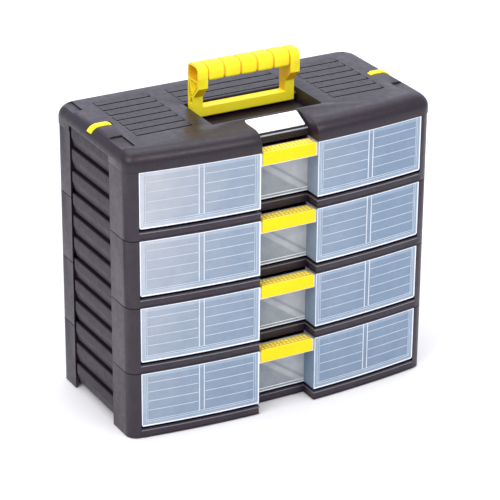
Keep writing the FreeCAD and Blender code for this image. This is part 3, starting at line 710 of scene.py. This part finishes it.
def make_window():
    """The right half of the drawer's front: a bowed pane with a raised double frame and ribs."""
    inner, out, low = NOTCH_HALF + RETURN_WALL, WINDOW_HALF, WINDOW_LOW
    pane = prism("window", plan([
        *along_bow(NOTCH_HALF, out, 16),
        *along_bow(out, inner, 16, WINDOW_WALL),
        (inner, NOTCH_BACK + RETURN_WALL),
        (NOTCH_HALF, NOTCH_BACK + RETURN_WALL),
    ], low), (0, 0, WINDOW_TOP - low))
    paint(pane, window_milk, window_edge_painted_highlight, window_band)
    pick(pane, "FACE", lambda middle, normal: normal.y < -0.9
         and middle.y < front_at(middle.x) + 0.5)
    # The two outer rings take the near-white edge finish as painted highlight lines.
    ring(pane, 0.8, 0.0, 1)
    ring(pane, 0.4, -0.5, 1)
    ring(pane, 3.4, 0.0, 2)
    pane.active_material_index = 0
    bpy.ops.object.material_slot_assign()
    bpy.ops.object.mode_set(mode="OBJECT")
    cut = WINDOW_CORNER
    waste = [(out + 1, low - 1), (out + 1, low + cut)]
    for turn in range(7):
        angle = math.radians(-90 * turn / 6)
        waste.append((out - cut + cut * math.cos(angle), low + cut + cut * math.sin(angle)))
    waste.append((out - cut, low - 1))
    carve(pane, prism("corner_waste", front_view(waste, -120), (0, 80, 0)))
    lines = []
    for drop in LINE_DROPS:
        for start, end in ((NOTCH_HALF + 7.5, RIB_PLACE - 4.2), (RIB_PLACE + 4.2, out - 7.5)):
            lines.append(window_strip(start, end, WINDOW_TOP - drop, LINE_WIDE, 0.25))
    for raised in (4.6, 6.6):
        lines.append(window_strip(NOTCH_HALF + 5, out - 5, low + raised, LINE_WIDE, 0.1))
    for across in (out - 6.8, out - 5.0, NOTCH_HALF + 4.6, NOTCH_HALF + 6.6):
        lines.append(window_post(across, 0.7, low + 4.8))
    for strip in lines:
        paint(strip, window_line)
    for across in (RIB_PLACE - 2.8, RIB_PLACE + 2.8):
        rib = window_post(across, 1.2, low + 7.2)
        paint(rib, window_rib)
        lines.append(rib)
    return joined(pane, *lines)


def make_tray():
    """The clear tray behind the windows, with its set-back middle, guides and handle bar."""
    base = bowed_plan(TRAY_HALF, TRAY_BACK, 1.2, NOTCH_HALF + 0.2, NOTCH_BACK, 3.0)
    tray = prism("tray", plan(base, WINDOW_LOW), (0, 0, TRAY_TOP - WINDOW_LOW))
    pick(tray, "FACE", lambda middle, normal: normal.z > 0.9)
    bpy.ops.mesh.inset(thickness=TRAY_WALL * MM)
    pull_out((0, 0, (WINDOW_LOW - TRAY_TOP + 1.8) * MM))
    bpy.ops.object.mode_set(mode="OBJECT")
    panel = block("middle_panel", (-NOTCH_HALF - 1, NOTCH_BACK, TRAY_TOP - 3),
                  (NOTCH_HALF + 1, NOTCH_BACK + TRAY_WALL, pull_high.z - 3.6))
    fuse(tray, panel)
    lips = []
    for foot, head in ((0.1, 1.2), (3.6, 4.4)):
        lips.append(block("foot_line", (-NOTCH_HALF + 0.1, NOTCH_BACK - 0.5, WINDOW_LOW + foot),
                          (NOTCH_HALF - 0.1, NOTCH_BACK + 0.3, WINDOW_LOW + head)))
    bar_front, bar_inner, bar_back = FRONT + 2.0, FRONT + 3.8, FRONT + 14.0
    section = rounded([
        (bar_front, BAR_LOW, 0.4), (bar_inner, BAR_LOW, 0.4), (bar_inner, BAR_SHELF),
        (bar_back, BAR_SHELF), (bar_back, BAR_TOP), (bar_front, BAR_TOP),
    ], steps=2)
    bar = prism("bar", side_view(section, -NOTCH_HALF - 0.8), (2 * NOTCH_HALF + 1.6, 0, 0))
    guides = []
    for side in (-1, 1):
        for hand in (-1, 1):
            x = side * RIB_PLACE + hand * 1.5
            for y_low, y_high in ((front_at(RIB_PLACE) + 1.6, front_at(RIB_PLACE) + 5.2),
                                  (TRAY_BACK - 4.7, TRAY_BACK - 1.5)):
                guides.append(block("guide", (x - 0.6, y_low, TRAY_FLOOR), (x + 0.6, y_high, 60.0)))
    for piece in (tray, bar, *guides):
        paint(piece, tray_milk, middle_painted_bands)
        soften(piece, 0.3, 1)
    # The handle bar is painted near-white as a highlight line.
    paint(bar, window_edge_painted_highlight)
    # The middle panel's front faces take the painted light bands.
    repaint(tray, lambda middle, normal: normal.y < -0.9 and abs(middle.x) < NOTCH_HALF
            and abs(middle.y - NOTCH_BACK) < 0.5)
    # The foot lines are painted near-white as highlight lines.
    for piece in lips:
        paint(piece, window_edge_painted_highlight)
        soften(piece, 0.2, 1)
    for x_low, x_high in ((-34.2, -31.4), (-30.2, -27.0), (27.0, 30.2), (31.4, 34.2)):
        band = block("floor_rib", (x_low, NOTCH_BACK + 3, TRAY_FLOOR),
                     (x_high, TRAY_BACK - 3, TRAY_FLOOR + 1.5))
        paint(band, tray_milk)
        guides.append(soften(band, 0.3, 1))
    lug = block("stop_lug", (-5, TRAY_BACK - 6, 10.7), (5, TRAY_BACK, 13.6))
    paint(lug, tray_milk)
    soften(lug, 0.3, 1)
    return joined(tray, bar, lug, *guides, *lips)


def make_drawer():
    """A tray with its two windows; all drawers are alike."""
    tray = make_tray()
    right = make_window()
    take(right)
    bpy.ops.object.shade_smooth_by_angle(angle=math.radians(20))
    left = copied(right, "window_left", mirror=True)
    return joined(right, left, tray)


RIDGES, RIDGE_INSET = 13, 4.0
DOTS, DOT_INSET = 24, 2.6


def spread_out(first, last, count):
    """Evenly spaced places, both ends included."""
    return [first + (last - first) * index / (count - 1) for index in range(count)]


def make_pull():
    """A clip-on grip: a rolled front edge, a back lip and rows of grip ridges on top."""
    low, high, thick = pull_low, pull_high, 2.0
    section = rounded([
        (low.y, low.z, 0.7), (low.y + thick, low.z, 0.5), (low.y + thick, high.z - thick),
        (high.y - thick, high.z - thick), (high.y - thick, high.z - 4.8), (high.y, high.z - 4.8, 0.6),
        (high.y, high.z - 0.4, 1.0), (low.y + 3.0, high.z - 0.4), (low.y + 2.4, high.z, 0.4),
        (low.y, high.z, 1.3),
    ], steps=4)
    pull = prism("pull", side_view(section, low.x), (high.x - low.x, 0, 0))
    soften(pull, 0.5, 3)
    ridges = []
    for x in spread_out(low.x + RIDGE_INSET, high.x - RIDGE_INSET, RIDGES):
        for y_low, y_high in ((low.y + 4.2, low.y + 8.2), (low.y + 9.4, low.y + 13.4)):
            ridge = block("ridge", (x - 1.2, y_low, high.z - 0.9), (x + 1.2, y_high, high.z + 0.25))
            ridges.append(ridge)
    bumps = joined(*ridges)
    soften(bumps, 0.28, 2)
    dots = []
    for x in spread_out(low.x + DOT_INSET, high.x - DOT_INSET, DOTS):
        dots.append(block("dot", (x - 0.8, low.y + 0.5, high.z - 1.0),
                          (x + 0.8, low.y + 1.7, high.z + 0.1)))
    edge_dots = joined(*dots)
    soften(edge_dots, 0.25, 2)
    paint(pull, pull_yellow, pull_painted_shade)
    # Painted shade: the top face behind the front edge takes the deeper orange.
    repaint(pull, lambda middle, normal: normal.z > 0.9 and middle.y > low.y + 2.6)
    # Painted highlights: the ridges and the dotted front edge take the paler yellow.
    paint(bumps, yellow_painted_glint)
    paint(edge_dots, yellow_painted_glint)
    return joined(pull, bumps, edge_dots)


def make_divider():
    """The right-hand divider plate: a finger dip in its top and thin ribs on both faces."""
    low, high = box_mm("divider_right_1")
    dip, dip_foot, dip_depth, skin = 18.0, 13.0, 8.0, 0.25
    profile = rounded([
        (low.y, low.z), (high.y, low.z), (high.y, high.z, 2.0), (dip, high.z, 5.0),
        (dip_foot, high.z - dip_depth, 5.0), (-dip_foot, high.z - dip_depth, 5.0), (-dip, high.z, 5.0),
        (low.y, high.z, 2.0),
    ], steps=4)
    plate = prism("divider", side_view(profile, low.x + skin), (high.x - low.x - 2 * skin, 0, 0))
    soften(plate, 0.2, 1)
    ribs = []
    for y in (-40.0, 0.0, 40.0):
        ribs.append(block("rib", (low.x, y - 0.7, low.z + 2), (high.x, y + 0.7, high.z - 14)))
    ribs.append(block("rib", (low.x, low.y + 5, low.z + 1), (high.x, high.y - 5, low.z + 2.4)))
    for rib in ribs:
        soften(rib, 0.2, 1)
    plate = joined(plate, *ribs)
    paint(plate, divider_milk)
    return plate


# ---- cover ----

POCKET_HALF = 67.0
POCKET_FRONT = -45.2
POCKET_BACK = 22.35
POCKET_FLOOR = COVER_TOP - 27.0
SHELF = COVER_TOP - 16.9
SHELF_FRONT, SHELF_FOOT = -5.2, -16.2
SEAT_FRONT = -70.5
SEAT_BACK = -49.1
SEAT_DROP = 10.0
CHANNEL_HALF = 34.0
SLIT_PITCH = 16.0
SLIT_PLACES = [PANEL_FRONT + 1.5 + SLIT_PITCH * count for count in range(7)]
SLIT_WIDTH = 3.3
SLIT_DEPTH = 2.8
FRONT_ROLL, SIDE_ROLL, BACK_ROLL, ROLL_HEIGHT = 18.0, 12.0, 8.0, 13.5
ROLL_STEPS = 9
RECESS_FLOOR = COVER_TOP - 1.9
LATCH_PLACE = 9.5
LATCH_PIVOT = 161.0
LATCH_WIDTH = 9.0
LATCH_HALF_THICK = 0.9
LATCH_BEND = 12.0


def make_cover_block():
    """The rolled outside: an outline raised in steps, each drawn in a little more."""
    over = COVER_HALF - HALF
    half, back = COVER_HALF, BACK + over
    points = bowed_plan(half, back, -over, radius=CORNER_ROUND + 1)
    cover = outline("cover", plan(points, COVER_LOW + 0.1))
    bpy.ops.object.mode_set(mode="EDIT")
    bpy.ops.mesh.select_all(action="SELECT")
    pull_out((0, 0, (COVER_TOP - COVER_LOW - 0.1 - ROLL_HEIGHT) * MM))
    front_now, back_now, half_now = FRONT - over, back, half
    for turn in range(1, ROLL_STEPS + 1):
        before, angle = (math.radians(90 * step / ROLL_STEPS) for step in (turn - 1, turn))
        inward = 1 - math.cos(angle)
        pull_out((0, 0, ROLL_HEIGHT * (math.sin(angle) - math.sin(before)) * MM))
        half_next = half - SIDE_ROLL * inward
        front_next = FRONT - over + FRONT_ROLL * inward
        back_next = back - BACK_ROLL * inward
        squeeze = (back_next - front_next) / (back_now - front_now)
        fixed = (back_next - squeeze * back_now) / (1 - squeeze)
        bpy.ops.transform.resize(value=(half_next / half_now, squeeze, 1),
                                 center_override=(0, fixed * MM, 0))
        front_now, back_now, half_now = front_next, back_next, half_next
    face_outwards()
    return cover


def make_slits(low_x, high_x, places):
    """Cutters for roof-like slats: each slopes down to the front and ends in a black undercut slit."""
    top, foot = COVER_TOP, COVER_TOP - SLIT_DEPTH
    slats, ends = [], []
    for y in places:
        back, end_front, end_back = y + SLIT_PITCH - 2.4, y + 0.2, y + SLIT_PITCH - 3.4
        slope = [(y, foot), (y + 5.6, foot), (y + SLIT_WIDTH, top - 0.5),
                 (back, top - 0.02), (back, top + 1), (y, top + 1)]
        slats.append(prism("slat_top", side_view(slope, low_x), (high_x - low_x, 0, 0)))
        step = [(end_front, top - 2.2), (end_back, top - 0.3), (end_back, top + 1.2),
                (end_front, top + 1.2)]
        ends.append(prism("slat_end", side_view(step, low_x - 0.2), (1.3, 0, 0)))
    return joined(*slats), joined(*ends)


def latch_line(raised, end=28.0, steps=8):
    """The line over the cover's right edge, from the pivot along the top and down the roll."""
    bend_x, bend_z = COVER_HALF - LATCH_BEND, COVER_TOP - LATCH_BEND
    reach = LATCH_BEND + raised
    points = [(LATCH_PIVOT, bend_z + LATCH_BEND + raised)]
    for step in range(steps + 1):
        angle = math.radians(90 - (90 - end) * step / steps)
        points.append((bend_x + reach * math.cos(angle), bend_z + reach * math.sin(angle)))
    return points


def carve_rooms(cover):
    """The cover's thin shell from below, and the handle's pocket with its raised shelf."""
    floor, notch_back = COVER_LOW - PAST, SEAT_BACK + 3
    low_room = bowed_plan(HALF - 2.2, BACK - 2.2, 2.2, 38.0, notch_back, 8.0)
    carve(cover, prism("low_room", plan(low_room, floor), (0, 0, PAST + 7.5)))
    high_room = bowed_plan(HALF - 11, BACK - 9, 17.0, 38.0, notch_back, 6.0)
    carve(cover, prism("high_room", plan(high_room, floor), (0, 0, PAST + 18.0)))
    fuse(cover, block("pocket_box", (-POCKET_HALF - WALL, POCKET_FRONT - WALL, POCKET_FLOOR - WALL),
                      (POCKET_HALF + WALL, POCKET_BACK + WALL, COVER_TOP - 1)))
    pocket = prism("pocket", side_view([
        (POCKET_FRONT, POCKET_FLOOR), (SHELF_FOOT, POCKET_FLOOR), (SHELF_FRONT, SHELF),
        (POCKET_BACK, SHELF), (POCKET_BACK, COVER_TOP + PAST), (POCKET_FRONT, COVER_TOP + PAST),
    ], -POCKET_HALF), (2 * POCKET_HALF, 0, 0))
    round_edges(pocket, 2.0, 4, lambda middle, way: abs(way.z) > 0.9)
    carve(cover, pocket)


def carve_seats(cover):
    """The label's channel, the notches over the side panels and the corners' stacking recesses."""
    above, below, ahead = COVER_TOP + 6, COVER_LOW - 8, FRONT - 20
    carve(cover, prism("channel", side_view([
        (SEAT_BACK, above), (SEAT_BACK, COVER_TOP), (SEAT_FRONT, COVER_TOP - SEAT_DROP),
        (SEAT_FRONT, below), (ahead, below), (ahead, above),
    ], -CHANNEL_HALF), (2 * CHANNEL_HALF, 0, 0)))
    carve(cover, mirrored_block("skirt_notch", (PANEL_INNER - WALL - PANEL_FIT, PANEL_FRONT, COVER_LOW - 4),
                                (2 * HALF, PANEL_BACK, COVER_LOW + PANEL_RAISE)))
    for inner, front, back in ((164.5, -60, -27), (168.5, 57, 87)):
        carve(cover, mirrored_block("stacking_recess", (inner, front, RECESS_FLOOR),
                                    (200, back, COVER_TOP + PAST)))


def carve_latch_seats(cover):
    """A trench under each latch and a well for its knuckle, the left one a mirror of the right."""
    room = LATCH_WIDTH / 2 + 0.6
    seat = [*latch_line(-1.2, 24), *reversed(latch_line(6.0, 24))]
    trench = prism("latch_trench", front_view(seat, LATCH_PLACE - room), (0, 2 * room, 0))
    well = block("latch_well", (LATCH_PIVOT - 2.7, LATCH_PLACE - room, COVER_TOP - 7),
                 (LATCH_PIVOT + 2.7, LATCH_PLACE + room, COVER_TOP + 3))
    for cutter in (trench, well):
        carve(cover, copied(cutter, "latch_cut_left", mirror=True), cutter)


def make_cover():
    cover = make_cover_block()
    carve_rooms(cover)
    carve_seats(cover)
    soften(cover, 0.5, 2)
    behind = [place for place in SLIT_PLACES if place > POCKET_BACK + 4]
    for low_x, high_x, places in ((-151.0, -86.0, SLIT_PLACES), (-64.0, 64.0, behind),
                                  (86.0, 151.0, SLIT_PLACES)):
        carve(cover, *make_slits(low_x, high_x, places))
    carve_latch_seats(cover)
    take(cover)
    bpy.ops.object.shade_smooth_by_angle(angle=math.radians(32))
    front, back = SEAT_FRONT - 1.6, SEAT_FRONT + 0.5
    foot, head = COVER_TOP - SEAT_DROP - 3.4, COVER_TOP - SEAT_DROP - 2.0
    section = rounded([(front, foot, 0.5), (back, foot), (back, head), (front, head, 0.5)], steps=4)
    bead = prism("bead", side_view(section, -CHANNEL_HALF + 0.1), (2 * CHANNEL_HALF - 0.2, 0, 0))
    soften(bead, 0.2, 1)
    paint(bead, label_lip)
    paint(cover, dark_case)
    return joined(cover, bead)


def make_label():
    """A blank card with rounded corners on the sloping seat."""
    half, front, back = 31.5, SEAT_FRONT + 0.6, SEAT_BACK - 1.2
    corners = rounded([(-half, front, 1.5), (half, front, 1.5),
                       (half, back, 1.5), (-half, back, 1.5)], steps=4)
    slope = SEAT_DROP / (SEAT_BACK - SEAT_FRONT)
    low = COVER_TOP - SEAT_DROP
    points = [(x, y, low + slope * (y - SEAT_FRONT)) for x, y in corners]
    label = prism("label", points, (0, -0.35, 0.8))
    soften(label, 0.15, 1)
    paint(label, card_white)
    return label


# ---- handle and latches ----

AXIS_Y = 13.8
AXIS_Z = COVER_TOP - 7.6
HANDLE_HALF = 62.0
LEG = 11.5
LEG_FRONT, LEG_BACK = AXIS_Y - 6.6, AXIS_Y + 5.8
NOSE = AXIS_Y - 18.6
GRIP_LOW, GRIP_TOP = AXIS_Z + 39.5, AXIS_Z + 57.0
GRIP_Y, GRIP_Z = (NOSE + LEG_BACK) / 2, (GRIP_LOW + GRIP_TOP) / 2
GRIP_GROOVES = (-50, -30, -10, 10, 30, 50)
BORE_HALF = 2.56


def make_grip():
    """The hollow hand grip: a rounded section pulled along, pinched at each ring groove."""
    section = rounded([
        (NOSE, GRIP_LOW, 3.0), (LEG_BACK, GRIP_LOW, 3.0), (LEG_BACK, GRIP_TOP, 7.0), (NOSE, GRIP_TOP, 7.4),
    ], steps=5)
    grip = outline("grip", side_view(section, -HANDLE_HALF))
    stops = [(-HANDLE_HALF + 1.0, 1.0), (-51.5, 0.985)]
    for place in GRIP_GROOVES:
        stops += [(place - 1.3, 0.95), (place - 0.5, 0.85), (place + 0.5, 0.85), (place + 1.3, 0.95)]
        if place != GRIP_GROOVES[-1]:
            stops += [(place + 3.0, 0.99), (place + 10, 1.0), (place + 17.0, 0.99)]
    stops += [(51.5, 0.985), (HANDLE_HALF - 1.0, 1.0), (HANDLE_HALF, 0.97)]
    bpy.ops.object.mode_set(mode="EDIT")
    bpy.ops.mesh.select_all(action="SELECT")
    here, size = -HANDLE_HALF, 1.0
    for place, scale in stops:
        pull_out(((place - here) * MM, 0, 0))
        bpy.ops.transform.resize(value=(1, scale / size, scale / size),
                                 center_override=(0, GRIP_Y * MM, GRIP_Z * MM))
        here, size = place, scale
    face_outwards()
    return grip


def handle_rib(start, end, x, thick):
    """A diagonal web between two places of the side view."""
    start, end = Vector(start), Vector(end)
    way = (end - start).normalized()
    wide = Vector((way.y, -way.x)) * 0.8
    loop = [tuple(start + wide), tuple(start - wide), tuple(end - wide), tuple(end + wide)]
    return soften(prism("rib", side_view(loop, x), (thick, 0, 0)), 0.3, 1)


def takes_painted_shade(middle, normal):
    """The handle's faces that take painted shade (a deeper orange): the tube's inside, the grooves, the
    ribbed beds and the underside.
    """
    inward = Vector((0, GRIP_Y - middle.y, GRIP_Z - middle.z))
    if middle.z > GRIP_LOW and abs(middle.x) > 36 and inward.dot(normal) > 0:
        return True
    if middle.z > GRIP_LOW - 1 and any(abs(middle.x - place) < 1.0 for place in GRIP_GROOVES):
        return True
    if middle.z < GRIP_LOW and HANDLE_HALF - LEG + 1 < abs(middle.x) < HANDLE_HALF - 3 \
            and abs(normal.x) > 0.9:
        return True
    return normal.z < -0.5 and AXIS_Z + 15 < middle.z < AXIS_Z + 35


def make_handle():
    """Two ribbed legs on pivot bores and a hollow grip between them."""
    side = rounded([
        (LEG_FRONT, AXIS_Z - 5.5, 2.0), (LEG_BACK, AXIS_Z - 5.5, 2.0), (LEG_BACK, GRIP_TOP - 1, 6.0),
        (NOSE + 0.3, GRIP_TOP - 1, 6.5), (NOSE + 0.3, AXIS_Z + 31.5, 0.8), (LEG_FRONT, AXIS_Z + 19.0, 2.0),
    ], steps=5)
    handle = prism("handle", side_view(side, -HANDLE_HALF), (2 * HANDLE_HALF, 0, 0))
    span = HANDLE_HALF - LEG
    opening = rounded([
        (-span, AXIS_Z + 6, 1.2), (span, AXIS_Z + 6, 1.2), (span, GRIP_TOP + PAST), (-span, GRIP_TOP + PAST),
    ], steps=3)
    carve(handle, prism("opening", front_view(opening, -60), (0, 120, 0)))
    fuse(handle, make_grip())
    inner_nose = NOSE + 2.4
    hollow = rounded([
        (inner_nose, GRIP_LOW + 1.0, 2.5), (LEG_BACK - 2.4, GRIP_LOW + 1.0, 2.5),
        (LEG_BACK - 2.4, GRIP_TOP - 2.4, 5.0), (inner_nose, GRIP_TOP - 2.4, 5.2),
    ], steps=5)
    bed = rounded([
        (inner_nose, GRIP_LOW - 1.2), (inner_nose, AXIS_Z + 33.0), (LEG_FRONT + 1.8, AXIS_Z + 20.5),
        (LEG_FRONT + 1.8, AXIS_Z + 11), (LEG_BACK - 1.8, AXIS_Z + 11), (LEG_BACK - 1.8, GRIP_LOW - 1.2),
    ])
    bore = rounded([(AXIS_Y + across, AXIS_Z + up, 2.5) for across, up in (
        (-BORE_HALF, -BORE_HALF), (BORE_HALF, -BORE_HALF), (BORE_HALF, BORE_HALF), (-BORE_HALF, BORE_HALF))],
        steps=5)
    for hand in (-1, 1):
        x = hand * (HANDLE_HALF + 3)
        for name, section, depth in (("hollow", hollow, 24.0), ("rib_bed", bed, 8.5), ("bore", bore, 10.0)):
            carve(handle, prism(name, side_view(section, x), (-hand * depth, 0, 0)))
    soften(handle, 0.45, 2)
    top_front, top_back = (NOSE + 2.0, GRIP_LOW - 1.0), (LEG_BACK - 1.6, GRIP_LOW - 1.0)
    foot_front, foot_back = (LEG_FRONT + 1.6, AXIS_Z + 12.0), (LEG_BACK - 1.6, AXIS_Z + 12.0)
    ribs = []
    for hand in (-1, 1):
        for start, end in ((top_front, foot_back), (top_back, foot_front)):
            ribs.append(handle_rib(start, end, hand * (HANDLE_HALF - 5.8), hand * 5.2))
    handle = joined(handle, *ribs)
    # Painted shade: the hollows, grooves, rib beds and underside take the deeper orange.
    paint(handle, yellow, yellow_painted_shade)
    repaint(handle, takes_painted_shade)
    return handle


def make_latch():
    """The right side's flip latch: a tongue with a round end that wraps the cover's edge."""
    section = [*latch_line(-LATCH_HALF_THICK), *reversed(latch_line(LATCH_HALF_THICK))]
    latch = prism("latch", front_view(section, LATCH_PLACE - LATCH_WIDTH / 2), (0, LATCH_WIDTH, 0))
    round_edges(latch, 3.2, 5, lambda middle, way: abs(way.z) > 0.9 and middle.x < LATCH_PIVOT + 0.5
                and middle.z > COVER_TOP - 2)
    soften(latch, 0.35, 2)
    knuckle = block("knuckle", (LATCH_PIVOT - 1.6, LATCH_PLACE - 4.4, COVER_TOP - 3.2),
                    (LATCH_PIVOT + 1.6, LATCH_PLACE + 4.4, COVER_TOP - 0.5))
    round_edges(knuckle, 1.4, 4, lambda middle, way: abs(way.y) > 0.9 and middle.z < COVER_TOP - 2)
    latch = joined(latch, knuckle)
    paint(latch, yellow)
    return latch


# ---- the object ----

tier = make_tier()
drawer = make_drawer()
pull = make_pull()
divider = make_divider()
for level in range(1, TIERS + 1):
    lift = (0, 0, (level - 1) * PITCH)
    settle(copied(tier, f"tier_{level}", lift), "case", "case_plastic", f"module_{level}")
    settle(copied(drawer, f"tray_{level}", lift), f"drawer_{level}", "clear_plastic", f"drawer_{level}")
    settle(copied(pull, f"pull_{level}", lift), f"drawer_{level}", "yellow_plastic", f"drawer_pull_{level}")
    for hand, mirror in (("right", False), ("left", True)):
        plate = copied(divider, f"plate_{hand}_{level}", lift, mirror)
        settle(plate, f"drawer_{level}", "divider_plastic", f"divider_{hand}_{level}")
for pattern in (tier, drawer, pull, divider):
    bpy.data.objects.remove(pattern)

for made, name, body, slot, node in (
        (make_cover(), "cover_shell", "case", "case_plastic", "top_cover"),
        (make_label(), "blank_label", "case", "card", "label_card"),
        (make_handle(), "hand_grip", "handle", "yellow_plastic", "carry_handle")):
    made.name = name
    settle(made, body, slot, node)
latch = make_latch()
latch.name = "latch_tongue_right"
left_latch = copied(latch, "latch_tongue_left", mirror=True)
settle(latch, "latch_right", "yellow_plastic", "side_latch_right")
settle(left_latch, "latch_left", "yellow_plastic", "side_latch_left")
for name in ("handle_pin_left", "handle_pin_right", "latch_pin_left", "latch_pin_right"):
    for pin_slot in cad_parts[name].material_slots:
        pin_slot.material = pin_steel


# ---- floor, light and camera ----

def make_floor():
    """A wide white floor."""
    bpy.ops.object.select_all(action="DESELECT")
    bpy.ops.mesh.primitive_plane_add(size=14, location=(0, 0, -0.0005))
    floor = bpy.context.object
    floor.name = "floor"
    finish, shader = new_finish("floor_pale", {"Roughness": 0.9, "Specular IOR Level": 0.1})
    colour = blended(finish, grain(finish, 3, 3), (0.93, 0.93, 0.93), (0.95, 0.95, 0.95))
    connect(finish, colour, shader, "Base Color")
    paint(floor, finish)


def soft_light(name, place, target, width, height, power, colour=(1, 1, 1)):
    lamp = bpy.data.lights.new(name, "AREA")
    lamp.shape = "RECTANGLE"
    lamp.size, lamp.size_y = width, height
    lamp.energy = power
    lamp.color = colour
    holder = bpy.data.objects.new(name, lamp)
    bpy.context.scene.collection.objects.link(holder)
    holder.location = place
    holder.rotation_euler = (Vector(target) - Vector(place)).to_track_quat("-Z", "Y").to_euler()


def make_light():
    world = bpy.data.worlds.new("studio")
    bpy.context.scene.world = world
    world.use_nodes = True
    sky = world.node_tree.nodes["Background"]
    sky.inputs["Color"].default_value = (0.87, 0.88, 1.0, 1)
    sky.inputs["Strength"].default_value = 0.84
    middle = (0, 0, 0.2)
    soft_light("key_light", (-2.2, -0.9, 2.6), middle, 1.8, 1.8, 50, (1, 0.97, 0.92))
    soft_light("top_light", (0.3, 0.9, 2.8), middle, 2.4, 1.6, 30, (1, 0.98, 0.95))
    soft_light("front_fill", (0.5, -2.2, 2.6), middle, 2.2, 1.2, 36, (1, 0.97, 0.92))
    soft_light("back_glow", (1.8, 3.3, 1.9), middle, 3.6, 2.4, 22, (0.80, 0.86, 1.0))


def make_camera():
    """A long lens in front, to the left and a little above, turned by its three angles."""
    lens = bpy.data.cameras.new("camera")
    lens.sensor_width = 36
    lens.lens = 170.71
    lens.clip_end = 50
    holder = bpy.data.objects.new("camera", lens)
    bpy.context.scene.collection.objects.link(holder)
    azimuth, elevation, roll = (math.radians(value) for value in (-29.26, 24.48, 0.46))
    away = Vector((math.sin(azimuth) * math.cos(elevation), -math.cos(azimuth) * math.cos(elevation),
                   math.sin(elevation)))
    level = Vector((math.cos(azimuth), math.sin(azimuth), 0))
    upward = away.cross(level)
    right = level * math.cos(roll) + upward * math.sin(roll)
    top = upward * math.cos(roll) - level * math.sin(roll)
    turn = holder.matrix_world.copy()
    for row in range(3):
        turn[row][0], turn[row][1], turn[row][2] = right[row], top[row], away[row]
    holder.matrix_world = turn
    holder.location = (-1.16501, -2.08778, 1.24147)
    bpy.context.scene.camera = holder


make_floor()
make_light()
make_camera()
bpy.context.scene.view_settings.view_transform = "Standard"
